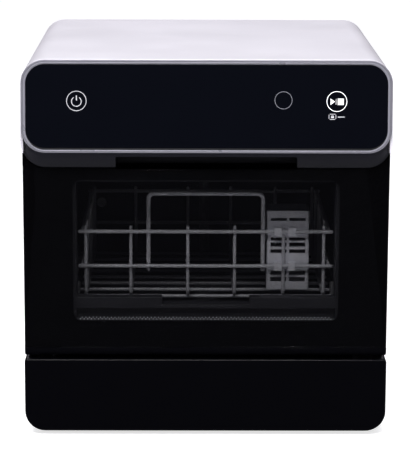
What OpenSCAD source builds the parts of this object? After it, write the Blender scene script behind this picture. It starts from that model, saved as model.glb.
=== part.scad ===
// Countertop dishwasher with a drop-down glass door, a leaning touch panel and a wire dish rack.
// Millimetres. +Z is up, the front faces -Y, and the origin is under the middle of the machine.

/* [Cabinet] */
// Overall width of the cabinet
body_w = 420; // [400:1:450]
// Overall depth, from the foremost edge of the control panel to the back
body_d = 435; // [420:1:470]
// Overall height on its feet
body_h = 442; // [430:1:470]
// Wall of the white outer shell
shell_wall = 2.5; // [1.5:0.1:3.5]
// Radius of the shell's upper corners, seen from the front
shell_corner_r = 27.5; // [15:0.5:32]
// Radius of the plinth's and base's lower corners
base_corner_r = 23.5; // [12:0.5:28]
// Height of the rubber feet under the base
foot_h = 5.3; // [4:0.1:12]
// Radius of each rubber foot
foot_r = 14; // [9:0.5:18]
// How far the feet's centres stand in from the sides, the front and the back
foot_inset = 45; // [35:1:60]
// Height of the base skirt that shows under the shell
skirt_h = 26; // [25:1:40]
// Wall of the base pan and the plinth
base_wall = 3; // [2:0.1:4]
// Height of the plinth panel
plinth_h = 85.7; // [80:0.5:95]

/* [Control panel] */
// Height of the control panel
panel_rise = 105; // [90:1:115]
// Angle by which the panel leans back
panel_lean = 6; // [0:0.5:8]
// Outer corner radius of the panel's bezel
bezel_corner_r = 27; // [15:0.5:32]
// Width of the bezel ring
bezel_w = 5.2; // [3:0.1:8]
// Thickness of the bezel ring
bezel_t = 4; // [3:0.1:6]
// Thickness of the control glass
control_glass_t = 2.6; // [2:0.1:3.5]
// Drop of the chin from the bezel down to the door
chin_drop = 19; // [14:0.5:24]
// How far the door's face lies behind the bezel's foremost edge
door_recess = 20.5; // [16:0.5:26]
// Width of the grip pocket
grip_w = 207; // [120:1:240]
// Height of the grip pocket above the door's top edge
grip_h = 13; // [8:0.5:16]

/* [Door] */
// Thickness of the door
door_t = 32; // [30:0.5:36]
// Thickness of the door's front glass
glass_t = 4; // [3:0.1:5]
// Gap between the door and the plinth
door_foot_gap = 3.4; // [2.8:0.1:5]
// Gap between the door and the chin above it
door_head_gap = 1.5; // [1.2:0.1:3]
// Radius of the door's lower front edge
door_nose_r = 11; // [10:0.5:16]
// Width of the black band on each side of the clear window
window_side = 57; // [50:0.5:90]
// Height of the black band between the window and the door's top edge
window_head = 14.6; // [13:0.1:40]
// Height of the window's lower edge above the door's lower end
window_rise = 42; // [40:0.5:50]
// Corner radius of the window
window_r = 10; // [4:0.5:20]
// Radius of the hinge pins
pin_r = 4; // [3:0.1:5]
// Running clearance of pins and spigots in their bores
run_gap = 0.05; // [0.02:0.01:0.1]

/* [Tub] */
// Distance of the tub's inner side from the cabinet's side
tub_side = 32; // [30:0.5:37]
// Depth of the tub from its front flange to its inner back wall
tub_d = 300; // [290:1:310]
// Height of the tub's floor above the door's lower end
tub_floor_rise = 21.6; // [21:0.2:24]
// Distance of the top of the tub's mouth below the chin
mouth_drop = 20; // [18:0.5:30]
// Distance of the tub's ceiling below the cabinet's top
tub_head = 50; // [42:1:66]
// Depth of the low front part of the tub, under the control panel
header_d = 48; // [40:1:60]
// Wall of the tub
tub_wall = 2; // [1:0.1:3]
// Height of the door gasket
gasket_h = 4.7; // [3:0.1:6]

/* [Rack] */
// Distance of the rack's wire ends from the tub's sides
rack_side = 28; // [26:0.5:38]
// Depth of the rack between its front and back uprights
rack_d = 252; // [240:1:254]
// Distance of the rack's front uprights behind the tub's front flange
rack_setback = 25; // [23:0.5:30]
// Height of the rack's floor above the tub's floor
rack_rise = 38; // [37:0.5:44]
// Height of the fence's middle wire, as a share of the room over the rack's floor
fence_mid = 0.2465; // [0.21:0.005:0.28]
// Height of the fence's top wire, as a share of the room over the rack's floor
fence_top = 0.5333; // [0.49:0.005:0.57]
// Diameter of the rack's uprights and floor wires
wire_d = 4; // [3:0.1:5]
// Diameter of the fence's level wires
rail_wire_d = 4.4; // [3.4:0.1:5.4]
// Width of the handle hoop over its leg centres, as a share of the rack's width
hoop_share = 0.4483; // [0.3:0.01:0.46]
// Height of the hoop, as a share of the room over the rack's floor
hoop_top = 0.8438; // [0.75:0.005:0.9]
// Diameter of the hoop's wire
hoop_wire_d = 5; // [4:0.1:6]

/* [Cutlery basket] */
// Width of the cutlery basket
basket_w = 50; // [40:1:54]
// Depth of the cutlery basket
basket_d = 46; // [30:1:60]
// Height of the basket's rim, as a share of the room over the rack's floor
basket_rim = 0.698; // [0.64:0.005:0.74]
// Gap between the handle hoop and the basket
basket_gap = 2.25; // [2:0.25:6]
// Wall of the basket
basket_wall = 2; // [1.4:0.1:3]

/* [Wash system] */
// Reach of the lower spray arm
lower_arm_r = 128; // [90:1:130]
// Reach of the upper spray arm
upper_arm_r = 100; // [70:1:103]
// Thickness of the spray arms
arm_t = 10; // [7:0.5:12]
// Radius of the filter well
sump_r = 46; // [38:0.5:50]
// Radius of the filter cup's collar
cup_r = 27; // [20:0.5:32]
// Radius of the water inlet's spigot
inlet_r = 13.2; // [10:0.1:15]
// Radius of the drain spigot
drain_r = 9.5; // [7:0.1:12]

/* [Hidden] */
$fn = 64;
eps = 0.01;
seat = 0.3;

front_y = -body_d / 2;
back_y = body_d / 2;
half_w = body_w / 2;

// Heights of the front
plinth_top = foot_h + plinth_h;
door_bottom = plinth_top + door_foot_gap;
panel_bottom = body_h - panel_rise;
panel_len = panel_rise / cos(panel_lean);
chin_bottom = panel_bottom - chin_drop;
door_top = chin_bottom - door_head_gap;
hood_z = panel_bottom - 1;

// Depths of the door
bezel_step = 1.2;
door_w = body_w - 1;
door_y = front_y + door_recess;
door_back = door_y + door_t;
hinge_r = door_t / 2;
hinge_y = door_y + hinge_r;
hinge_z = door_bottom + hinge_r;
mask_t = 0.3;
liner_t = 4;
glass_back = door_y + glass_t;
liner_y = door_back - liner_t;
horn_t = glass_t + 2;
horn_top = panel_bottom - 4;
wall_t = 3;
glass_z0 = door_bottom + door_nose_r + 0.4;
// small rounding where the door's and the plinth's corners face each other at the gap
gap_corner_r = 3;

// Chin and control electronics
chin_back = door_recess - bezel_t;
chin_steps = 7;
housing_t = 9;
key_x = [-147, 86.5, 147];
key_up = panel_len * 0.55;
key_pad_r = 9;
key_pad_l = 12;
board_t = 1.6;
board_y = front_y + housing_t + panel_rise * tan(panel_lean) + key_pad_l;

// The shell stands just behind the door and reaches over it as a hood
shell_front = door_back + 2;
shell_bottom = foot_h + skirt_h;
rear_t = 1.5;
rear_out = back_y - 3;
rear_in = rear_out - rear_t;

// Window
window_z0 = door_bottom + window_rise;
window_z1 = door_top - window_head;
window_w = body_w - 2 * window_side;
rim_w = 5;
rim_y0 = glass_back + 6;
rim_y1 = liner_y - 3;
ledge_low = window_z0 + 13.5;
ledge_top = window_z0 + 26.5;
ledge_notch_w = 101;
ledge_notch_d = 8.5;
pane_t = 3;
rim_step_y = rim_y0 + 10;

// Tub
tub_front = door_back + gasket_h + seat;
tub_back = tub_front + tub_d;
floor_z = door_bottom + tub_floor_rise;
mouth_top = chin_bottom - mouth_drop;
mouth_h = mouth_top - floor_z;
ceiling_z = body_h - tub_head;
tub_w = body_w - 2 * tub_side;
header_y = tub_front + header_d;
tub_corner_r = 18;
flange_w = 9;
flange_t = 2;
gasket_w = 6;
catch_z0 = mouth_top + flange_w + 2;
catch_w = 28;
catch_d = 26;
hook_reach = 17;

// Spray arms and filter turn about upright axes in the tub's middle plane
arm_inset = 152;
filter_inset = 75;
arm_y = tub_front + arm_inset;
filter_y = tub_front + filter_inset;
rack_z = floor_z + rack_rise;
cross_z = rack_z - wire_d * 0.85;
post_r = 8;
post_l = 14;
post_bore_r = 5.5;
post_foot_r = 12;
post_top = floor_z + post_foot_r;
hub_r = 16;
arm_tip_r = 9;
jet_r = 1.6;
lower_arm_z = floor_z + 17;
upper_arm_z = ceiling_z - 34;
duct_r = 6.5;
duct_bend = 14;
duct_y = tub_back - duct_r - 0.6;
duct_z = ceiling_z - duct_r - 0.6;

// Sump, pumps and pipes
sump_depth = 46;
outlet_r = 13;
outlet_l = 20;
pump_z = floor_z - 40;
wash_volute_r = 30;
wash_volute_t = 24;
heater_r = 26;
heater_l = 22;
motor_r = 21;
motor_l = 50;
fin_r = 24;
fin_t = 7;
fin_pitch = 9;
drain_volute_r = 22;
drain_volute_t = 18;
drain_motor_r = 17;
drain_motor_l = 34;
fill_pipe_r = 6;
drain_pipe_r = 7;
fill_z = floor_z + 96;

// Rack
rack_w = tub_w - 2 * rack_side;
rack_room = mouth_top - rack_z;
rack_y0 = tub_front + rack_setback;
rack_y1 = rack_y0 + rack_d;
wire_r = wire_d / 2;
rail_wire_r = rail_wire_d / 2;
bend_r = 6;
side_x = rack_w / 2 - 9;
upright_x = [-side_x, -0.587 * rack_w / 2, -0.14 * rack_w / 2, 0.227 * rack_w / 2,
             0.61 * rack_w / 2, side_x - 2];
rail_y = rack_y0 - wire_r - rail_wire_r + 0.4;
hoop_y = rail_y + rail_wire_r + hoop_wire_d / 2 + 0.02;
mid_z = rack_z + fence_mid * rack_room;
top_z = rack_z + fence_top * rack_room;
hoop_z = rack_z + hoop_top * rack_room;
hoop_w = hoop_share * rack_w;
upright_top = top_z + rail_wire_r + 2.5;
cross_count = 8;
cross_pitch = (rack_d - 2 * bend_r - wire_d) / (cross_count - 1);
channel_out = tub_w / 2;
channel_in = rack_w / 2 + 9;
channel_t = 2.5;
glide_h = 14;
glide_z0 = cross_z - glide_h / 2;
glide_l = 30;

// Cutlery basket
basket_y0 = rack_y0 + wire_r + seat;
basket_z0 = rack_z + wire_r + 4;
basket_top = rack_z + basket_rim * rack_room;
basket_h = basket_top - basket_z0;
basket_x = (hoop_w + hoop_wire_d + basket_w) / 2 + basket_gap;
hook_w = 8.6;
hook_gap = 7.8;
hook_t = 2.2;
// The hooks stand on both sides of the rack's fifth upright
hook_x = upright_x[4] + 1.5;
// Start and end of each row of slots below the rim, for a basket of the height slot_room
slot_rows = [[8.3, 12.1], [31.8, 35.7], [38, 43], [46, 50.7], [72, 77.2], [79.5, 85]];
slot_room = 94.5;
slot_margin = 4.5;

// Detergent dispenser, low on the door's liner
dose_w = 90;
dose_z0 = floor_z + 3;
dose_z1 = dose_z0 + 20;
dose_proud = 6;
dose_y = rim_step_y + seat;
lid_w = 48;
lid_t = 1.8;
lid_pin_r = 1.2;
lid_pin_x = -dose_w / 2 + 3.4;
lid_pin_y = door_back + dose_proud - lid_t / 2;
lid_ear = 2.2;

// Hinge brackets
bracket_x = half_w - 15;
bracket_t = 4;
bracket_nose = 7;
pin_reach = 6;
bracket_d = 24;
pad_h = 6;
pad_z = foot_h + base_wall + pad_h;

// Back connections sit in a bay so that nothing stands out past the shell
bay_w = 150;
bay_z0 = 36;
bay_z1 = 100;
bay_depth = 32;
bay_x = -half_w + 115;
bay_back = rear_in - bay_depth - rear_t;
inlet_x = bay_x - 38;
drain_x = bay_x + 38;
port_z = (bay_z0 + bay_z1) / 2;
port_len = 22;
valve_w = 34;
valve_d = 26;
gland_x = half_w - 80;
gland_r = 8;
collar = 3;

white = [0.92, 0.91, 0.94];
gloss_black = [0.05, 0.05, 0.06];
soft_black = [0.09, 0.09, 0.1];
silver = [0.73, 0.72, 0.77];
grey = [0.45, 0.45, 0.5];
steel = [0.7, 0.7, 0.72];
clear = [0.3, 0.33, 0.36, 0.4];

// Extrudes a front view, drawn in X and Z, from y0 to y1
module along_y(y0, y1) {
    translate([0, y1, 0]) rotate([90, 0, 0]) linear_extrude(y1 - y0) children();
}

// Extrudes a side view, drawn in Y and Z, from x0 to x1
module along_x(x0, x1) {
    translate([x0, 0, 0]) rotate([90, 0, 90]) linear_extrude(x1 - x0) children();
}

// Extrudes a plan, drawn in X and Y, from z0 to z1
module along_z(z0, z1) {
    translate([0, 0, z0]) linear_extrude(z1 - z0) children();
}

// Draws a part and its mirror image on the other side
module both_sides() {
    children();
    mirror([1, 0, 0]) children();
}

// Rectangle from corner to corner with round corners
module round_rect(x0, y0, x1, y1, r) {
    translate([x0 + r, y0]) square([x1 - x0 - 2 * r, y1 - y0]);
    translate([x0, y0 + r]) square([x1 - x0, y1 - y0 - 2 * r]);
    for (x = [x0 + r, x1 - r], y = [y0 + r, y1 - r])
        translate([x, y]) circle(r);
}

// Rectangle with only its upper corners round
module arch_rect(x0, y0, x1, y1, r) {
    translate([x0 + r, y0]) square([x1 - x0 - 2 * r, y1 - y0]);
    translate([x0, y0]) square([x1 - x0, y1 - y0 - r]);
    for (x = [x0 + r, x1 - r])
        translate([x, y1 - r]) circle(r);
}

// Rectangle with only its lower corners round
module tray_rect(x0, y0, x1, y1, r) {
    intersection() {
        translate([x0, y0]) square([x1 - x0, y1 - y0]);
        union() {
            translate([x0 + r, y0]) square([x1 - x0 - 2 * r, y1 - y0]);
            translate([x0, y0 + r]) square([x1 - x0, y1 - y0]);
            for (x = [x0 + r, x1 - r])
                translate([x, y0 + r]) circle(r);
        }
    }
}

// The leaning plane of the control panel: local Y runs up it and local Z points out of it
module on_panel() {
    translate([0, front_y - bezel_step * sin(panel_lean), panel_bottom])
        rotate([90 - panel_lean, 0, 0]) children();
}

// Outline of the panel on its leaning plane, drawn in by inset
module panel_outline(inset) {
    round_rect(-half_w + inset, inset, half_w - inset, panel_len - inset,
               bezel_corner_r - inset);
}

// White shell: an arch over the top and both sides, with a hood that reaches over the door
module outer_shell() {
    color(white) difference() {
        along_y(front_y, back_y)
            arch_rect(-half_w, shell_bottom, half_w, body_h, shell_corner_r);
        along_y(front_y - 1, back_y + 1)
            arch_rect(-half_w + shell_wall, shell_bottom - 1, half_w - shell_wall,
                      body_h - shell_wall, shell_corner_r - shell_wall);
        translate([-half_w - 1, front_y - 1, shell_bottom - 1])
            cube([body_w + 2, shell_front - front_y + 1, hood_z - shell_bottom + 1]);
        on_panel() translate([-half_w - 1, -body_h, -bezel_t])
            cube([body_w + 2, 2 * body_h, body_d]);
    }
}

// Back sheet with louvre slots and the bay for the hose connections
module rear_panel() {
    in = shell_wall + seat;
    rear_base = shell_bottom + seat;
    color(white) difference() {
        union() {
            along_y(rear_in, rear_out) difference() {
                arch_rect(-half_w + in, rear_base, half_w - in, body_h - in,
                          shell_corner_r - in);
                translate([bay_x - bay_w / 2, bay_z0]) square([bay_w, bay_z1 - bay_z0]);
            }
            along_y(rear_in - bay_depth, rear_out) difference() {
                translate([bay_x - bay_w / 2 - rear_t, bay_z0 - rear_t])
                    square([bay_w + 2 * rear_t, bay_z1 - bay_z0 + 2 * rear_t]);
                translate([bay_x - bay_w / 2, bay_z0]) square([bay_w, bay_z1 - bay_z0]);
            }
            along_y(rear_in - bay_depth - rear_t, rear_in - bay_depth)
                translate([bay_x - bay_w / 2 - rear_t, bay_z0 - rear_t])
                    square([bay_w + 2 * rear_t, bay_z1 - bay_z0 + 2 * rear_t]);
        }
        for (row = [0 : 4], col = [-3 : 3])
            along_y(rear_in - 1, rear_out + 1)
                round_rect(col * 44 - 15, body_h - 150 + row * 16,
                           col * 44 + 15, body_h - 144 + row * 16, 2.9);
        translate([inlet_x, rear_in, port_z]) rotate([90, 0, 0])
            cylinder(r = inlet_r + collar + seat, h = 2 * (bay_depth + rear_t));
        translate([drain_x, rear_in, port_z]) rotate([90, 0, 0])
            cylinder(r = drain_r + collar + seat, h = 2 * (bay_depth + rear_t));
        translate([gland_x, rear_out + 1, port_z]) rotate([90, 0, 0])
            cylinder(r = gland_r + seat, h = rear_t + 2);
        screw_places(2 + seat, rear_in - 1, rear_out + 1);
    }
}

// Eight screws along the edges of the back sheet
module screw_places(r, y0, y1) {
    x = half_w - 12;
    z0 = shell_bottom + 14;
    z1 = body_h - 42;
    for (s = [-1, 1], k = [0 : 2])
        translate([s * x, y1, z0 + k * (z1 - z0) / 2]) rotate([90, 0, 0])
            cylinder(r = r, h = y1 - y0);
    for (s = [-1, 1])
        translate([s * half_w / 2, y1, body_h - 14]) rotate([90, 0, 0])
            cylinder(r = r, h = y1 - y0);
}

// Screws that hold the back sheet
module cabinet_screws() {
    color(steel) {
        screw_places(4, rear_out, rear_out + 2);
        screw_places(2, rear_in - 8, rear_out);
    }
}

// Moulded base: a skirt with round lower edges, a floor and a raised inner wall
module base_pan() {
    y0 = shell_front;
    y1 = rear_in - seat;
    inner = shell_wall + seat;
    color(soft_black) difference() {
        union() {
            difference() {
                along_y(y0, y1)
                    tray_rect(-half_w, foot_h, half_w, shell_bottom, base_corner_r);
                along_y(y0 + base_wall, y1 - base_wall)
                    tray_rect(-half_w + inner + base_wall, foot_h + base_wall,
                              half_w - inner - base_wall, shell_bottom + 1,
                              base_corner_r - inner);
            }
            // inner wall that stands up inside the shell
            for (s = [0, 1]) mirror([s, 0, 0])
                translate([half_w - inner - base_wall, y0, shell_bottom - eps])
                    cube([base_wall, y1 - y0, 20]);
            // ribs under the pumps and the power board
            for (y = [filter_y - 24, filter_y + 24])
                translate([-half_w + 40, y - 1.5, foot_h + base_wall - eps])
                    cube([body_w - 80, 3, 12]);
            for (x = [30, 90, 150])
                translate([x - 1.5, arm_y, foot_h + base_wall - eps]) cube([3, 130, 12]);
            // pads under the hinge brackets
            both_sides()
                translate([bracket_x - 18, tub_front + flange_t - 2, foot_h + base_wall - eps])
                    cube([22, bracket_d + 4, pad_h + eps]);
        }
        foot_places() cylinder(r = 4 + 0.1, h = base_wall + 1);
        // row of drain slots in the floor
        for (k = [-3 : 3])
            along_z(foot_h - 1, foot_h + base_wall + 1)
                round_rect(k * 26 - 9, tub_back - 20, k * 26 + 9, tub_back - 15, 2.4);
    }
}

// Places of the four feet
module foot_places() {
    x = half_w - foot_inset;
    for (sx = [-1, 1], y = [shell_front + foot_inset - 10, back_y - foot_inset])
        translate([sx * x, y, foot_h - eps]) children();
}

// Rubber feet, pushed into the base by a stem
module feet() {
    color([0.13, 0.13, 0.14]) foot_places() {
        translate([0, 0, -foot_h + eps]) cylinder(r1 = foot_r - 1.5, r2 = foot_r, h = foot_h);
        cylinder(r = 4, h = base_wall + 3);
        translate([0, 0, base_wall + 0.1]) cylinder(r = 5.2, h = 1.6);
    }
}

// Front plinth: a plate with returns on all four edges
module plinth_panel() {
    y1 = shell_front - seat;
    color(gloss_black) difference() {
        along_y(door_y, y1) intersection() {
            tray_rect(-half_w, foot_h, half_w, plinth_top, base_corner_r);
            round_rect(-half_w, foot_h, half_w, plinth_top, gap_corner_r);
        }
        along_y(door_y + base_wall, y1 + 1)
            tray_rect(-half_w + base_wall, foot_h + base_wall, half_w - base_wall,
                      plinth_top - base_wall, base_corner_r - base_wall);
    }
}

// Slices of the chin: the bezel's outline slides down and back on a shallow cove
function cove(t) = [chin_back * sin(90 * t), chin_drop * (1 - cos(90 * t))];
function chin_place(t) = let (c = cove(t)) [(0.6 * c[0] + 0.4 * chin_back * t),
                                            (0.6 * c[1] + 0.4 * chin_drop * t)];

module chin_slice(t) {
    p = chin_place(t);
    translate([0, p[0], -p[1]]) on_panel() translate([0, 0, -bezel_t - 0.1])
        linear_extrude(0.1) panel_outline(0);
}

// Fixed housing of the control panel, with the chin and the grip pocket
module panel_housing() {
    in = shell_wall + seat;
    color(gloss_black) difference() {
        union() {
            intersection() {
                for (k = [0 : chin_steps - 1]) hull() {
                    chin_slice(k / chin_steps);
                    chin_slice((k + 1) / chin_steps);
                }
                union() {
                    translate([-half_w, front_y, chin_bottom - 1])
                        cube([body_w, door_recess + 20, hood_z - seat - chin_bottom + 1]);
                    along_y(front_y, front_y + door_recess + 20)
                        arch_rect(-half_w + in, hood_z - 2, half_w - in, body_h - in,
                                  shell_corner_r - in);
                }
            }
            // neck between the door's horns, from the chin back to the lintel
            along_y(door_y - 0.5, door_y + horn_t + 0.8) intersection() {
                round_rect(-half_w, chin_bottom, half_w, chin_bottom + panel_len, bezel_corner_r);
                translate([-half_w, chin_bottom]) square([body_w, hood_z - seat - chin_bottom]);
            }
            // lintel behind the chin, which shows at the sides under the hood
            translate([-half_w, door_y + horn_t + 0.7, chin_bottom])
                cube([body_w, shell_front - door_y - horn_t - 0.7, hood_z - seat - chin_bottom]);
            translate([-half_w + in, shell_front - eps, chin_bottom])
                cube([body_w - 2 * in, 38, base_wall]);
        }
        // room for the electronics, open at the back
        translate([-half_w + in + wall_t, front_y + housing_t + panel_rise * tan(panel_lean),
                   chin_bottom + 16])
            cube([body_w - 2 * in - 2 * wall_t, door_recess + 30, body_h]);
        // grip pocket
        along_y(front_y, shell_front - 7)
            arch_rect(-grip_w / 2, chin_bottom - 1, grip_w / 2, chin_bottom + grip_h, 3);
    }
}

// Metallic ring round the control glass, with a raised middle band
module panel_bezel() {
    color(silver) on_panel() {
        translate([0, 0, -bezel_t]) linear_extrude(bezel_t - 1) difference() {
            panel_outline(0);
            panel_outline(bezel_w);
        }
        translate([0, 0, -1 - eps]) linear_extrude(1 + eps) difference() {
            panel_outline(bezel_step);
            panel_outline(bezel_w - bezel_step);
        }
    }
}

// Control glass, seated in the ring
module control_glass() {
    color([0.06, 0.06, 0.08]) on_panel() translate([0, 0, -bezel_t])
        linear_extrude(control_glass_t) panel_outline(bezel_w + 0.2);
}

// Circuit board of the touch keys, behind the housing's front wall
module control_board() {
    z0 = panel_bottom + 22;
    color([0.1, 0.35, 0.2]) {
        translate([-half_w + 30, board_y, z0]) cube([body_w - 60, board_t, 60]);
        for (x = [-30, 0, 30])
            translate([x - 6, board_y + board_t - eps, z0 + 20]) cube([12, 3, 12]);
        // standoffs on the housing's floor
        for (x = [-120, 0, 120])
            translate([x - 3, board_y - 2, chin_bottom + 16]) cube([6, 8, z0 - chin_bottom - 14]);
    }
}

// Springy contact pads between the board and the glass, one under each key
module touch_pads() {
    color([0.2, 0.2, 0.22])
        for (x = key_x)
            translate([x, board_y, panel_bottom + key_up]) rotate([90, 0, 0])
                cylinder(r = key_pad_r, h = key_pad_l - seat);
}

// Power board on the base's ribs
module power_board() {
    z0 = foot_h + base_wall + 12;
    y0 = arm_y + 10;
    color([0.12, 0.3, 0.2]) {
        translate([24, y0, z0]) cube([140, 110, board_t]);
        translate([40, y0 + 20, z0 + board_t - eps]) cube([34, 30, 26]);
        translate([84, y0 + 18, z0 + board_t - eps]) cube([18, 18, 20]);
        for (x = [112, 128, 144])
            translate([x, y0 + 80, z0 + board_t - eps]) cylinder(r = 6, h = 24);
    }
}

// Side view of the tub's inside: low under the control panel and high behind it
module tub_section(grow, front) {
    r = tub_corner_r + grow;
    round_rect(front - r, floor_z - grow, tub_back + grow, mouth_top + grow, r);
    round_rect(header_y - grow, floor_z - grow, tub_back + grow, ceiling_z + grow, r);
    translate([front, floor_z - grow]) square([60, mouth_h + 2 * grow]);
}

// Wash tub with holes for the sump, the arm post, the duct and the fill pipe
module tub() {
    back_wall = tub_back + tub_wall;
    color([0.2, 0.2, 0.22]) difference() {
        intersection() {
            along_x(-tub_w / 2 - tub_wall, tub_w / 2 + tub_wall) tub_section(tub_wall, tub_front);
            translate([-body_w / 2, tub_front, 0]) cube([body_w, body_d, body_h]);
        }
        along_x(-tub_w / 2, tub_w / 2) tub_section(0, tub_front - 10);
        translate([0, filter_y, floor_z - 10]) cylinder(r = sump_r, h = 20);
        translate([0, arm_y, floor_z - 10]) cylinder(r = post_foot_r + seat, h = 20);
        translate([inlet_x, back_wall + 5, fill_z]) rotate([90, 0, 0])
            cylinder(r = fill_pipe_r + seat, h = tub_wall + 10);
        translate([0, back_wall + 5, floor_z + tub_corner_r + 4 + duct_r]) rotate([90, 0, 0])
            cylinder(r = fill_pipe_r + seat, h = tub_wall + 10);
    }
}

// Flat flange round the tub's mouth
module tub_flange() {
    color([0.25, 0.25, 0.27]) along_y(tub_front, tub_front + flange_t) difference() {
        round_rect(-tub_w / 2 - flange_w, floor_z - flange_w, tub_w / 2 + flange_w,
                   mouth_top + flange_w, 6);
        translate([-tub_w / 2 - tub_wall, floor_z - tub_wall])
            square([tub_w + 2 * tub_wall, mouth_h + 2 * tub_wall]);
    }
}

// Door seal: a hollow rubber bead on the flange
module tub_gasket() {
    out = flange_w - 1;
    color([0.12, 0.12, 0.13]) along_y(tub_front - gasket_h, tub_front) difference() {
        round_rect(-tub_w / 2 - out, floor_z - out, tub_w / 2 + out, mouth_top + out, 7);
        round_rect(-tub_w / 2 - out + gasket_w, floor_z - out + gasket_w,
                   tub_w / 2 + out - gasket_w, mouth_top + out - gasket_w, 3);
    }
}

// Channels on the tub's sides, in which the rack's glides run
module rack_channels() {
    z0 = glide_z0 - seat - channel_t;
    z1 = glide_z0 + glide_h + seat + channel_t;
    y0 = tub_front + 8;
    color(grey) both_sides() difference() {
        translate([channel_in, y0, z0]) cube([channel_out - channel_in, tub_d - 32, z1 - z0]);
        translate([channel_in - 1, y0 - 1, z0 + channel_t])
            cube([channel_out - channel_in - channel_t + 1, tub_d - 30, z1 - z0 - 2 * channel_t]);
    }
}

// Catch over the tub's mouth: a block with a slot for the door's hook
module door_catch() {
    y0 = shell_front + 6;
    color(soft_black) difference() {
        translate([-catch_w / 2, y0, catch_z0])
            cube([catch_w, catch_d, chin_bottom - catch_z0]);
        translate([-catch_w / 4, y0 - 1, catch_z0 - 1])
            cube([catch_w / 2, catch_d - 6, chin_bottom - catch_z0 - 0.5]);
    }
}

// Steel bracket with the hinge pin, on each side of the tub
module hinge_brackets() {
    x0 = bracket_x - bracket_t / 2;
    plate_y = tub_front + flange_t;
    color(steel) both_sides() {
        along_x(x0, x0 + bracket_t) {
            translate([hinge_y, hinge_z]) circle(bracket_nose);
            translate([hinge_y, hinge_z - bracket_nose])
                square([plate_y + bracket_d - hinge_y, 2 * bracket_nose]);
            translate([plate_y, pad_z]) square([bracket_d, hinge_z + bracket_nose - pad_z]);
        }
        translate([x0 - pin_reach, hinge_y, hinge_z]) rotate([0, 90, 0])
            cylinder(r = pin_r, h = bracket_t + 2 * pin_reach);
        // leaf behind the tub's flange
        translate([tub_w / 2 + tub_wall + 0.5, plate_y, pad_z])
            cube([x0 - tub_w / 2 - tub_wall, 2, hinge_z + bracket_nose - pad_z]);
        // foot of the bracket on the base's pad
        translate([x0 - 14, plate_y, pad_z]) cube([14 + bracket_t, bracket_d, 2]);
    }
}

// Sump under the filter, with the outlets to both pumps
module sump() {
    z1 = floor_z - tub_wall;
    color(grey) difference() {
        union() {
            translate([0, filter_y, z1 - sump_depth]) cylinder(r = sump_r + 2, h = sump_depth);
            translate([0, filter_y, z1 - 3]) cylinder(r = sump_r + 8, h = 3);
            translate([-sump_r - outlet_l, filter_y, pump_z]) rotate([0, 90, 0])
                cylinder(r = outlet_r, h = 2 * sump_r + 2 * outlet_l);
            // passage to the lower arm's post
            translate([-outlet_r, filter_y, z1 - 24])
                cube([2 * outlet_r, arm_y - filter_y + 14, 24]);
        }
        translate([0, filter_y, z1 - sump_depth + 3]) cylinder(r = sump_r - 3, h = sump_depth);
        translate([-sump_r - outlet_l - 1, filter_y, pump_z]) rotate([0, 90, 0])
            cylinder(r = outlet_r - 3, h = 2 * sump_r + 2 * outlet_l + 2);
        translate([-outlet_r + 3, filter_y, z1 - 21])
            cube([2 * outlet_r - 6, arm_y - filter_y + 11, 17]);
        translate([0, arm_y, z1 - 10]) cylinder(r = 9, h = 11);
    }
}

// Flat filter: a round steel plate with rings of holes and a hole for the cup
module filter_plate() {
    z0 = floor_z - tub_wall;
    color(steel) difference() {
        translate([0, filter_y, z0]) cylinder(r = sump_r - 0.2, h = 1.6);
        translate([0, filter_y, z0 - 1]) cylinder(r = cup_r - 1.2, h = 4);
        for (ring = [0, 1], k = [0 : 23])
            translate([0, filter_y, z0 - 1]) rotate([0, 0, k * 15 + ring * 7.5])
                translate([cup_r + 5.5 + ring * 5.5, 0, 0]) cylinder(r = 1.5, h = 4, $fn = 24);
    }
}

// Removable filter cup with tall windows and a grip bar; it locks by a quarter turn
module filter_cup() {
    z0 = floor_z - tub_wall + 1.6 + seat;
    depth = 36;
    color(grey) translate([0, filter_y, 0]) {
        difference() {
            union() {
                translate([0, 0, z0]) cylinder(r = cup_r, h = 2.4);
                translate([0, 0, z0 - depth]) cylinder(r = cup_r - 2.4, h = depth + 1);
            }
            translate([0, 0, z0 - depth + 2]) cylinder(r = cup_r - 4.2, h = depth + 5);
            for (k = [0 : 7])
                rotate([0, 0, k * 45 + 22.5]) translate([0, -3.5, z0 - depth + 6])
                    cube([cup_r, 7, depth - 14]);
        }
        // grip bar on two posts
        for (s = [-1, 1])
            translate([s * (cup_r - 3) - 1.6, -3, z0 + 2.4 - eps]) cube([3.2, 6, 8]);
        translate([-cup_r + 1.4, -3, z0 + 8.4]) cube([2 * cup_r - 2.8, 6, 2.5]);
    }
}

// Post that feeds the lower arm through the tub's floor
module arm_post() {
    color(grey) translate([0, arm_y, 0]) difference() {
        union() {
            translate([0, 0, floor_z - tub_wall])
                cylinder(r = post_foot_r, h = post_top - floor_z + tub_wall);
            translate([0, 0, post_top - 1]) cylinder(r = post_r, h = post_l);
            translate([0, 0, floor_z]) cylinder(r = post_foot_r + 3, h = 2);
        }
        translate([0, 0, floor_z - 10]) cylinder(r = post_bore_r, h = 60);
    }
}

// Spray arm seen from above: a hub with two tapered blades, slightly swept
module arm_plan(reach) {
    circle(hub_r);
    for (s = [0, 180]) rotate([0, 0, s]) {
        polygon([[0, -hub_r + 1], [reach - arm_tip_r, -7], [reach - arm_tip_r, 7],
                 [0, hub_r - 1]]);
        translate([reach - arm_tip_r, 0]) circle(arm_tip_r);
    }
}

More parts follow.
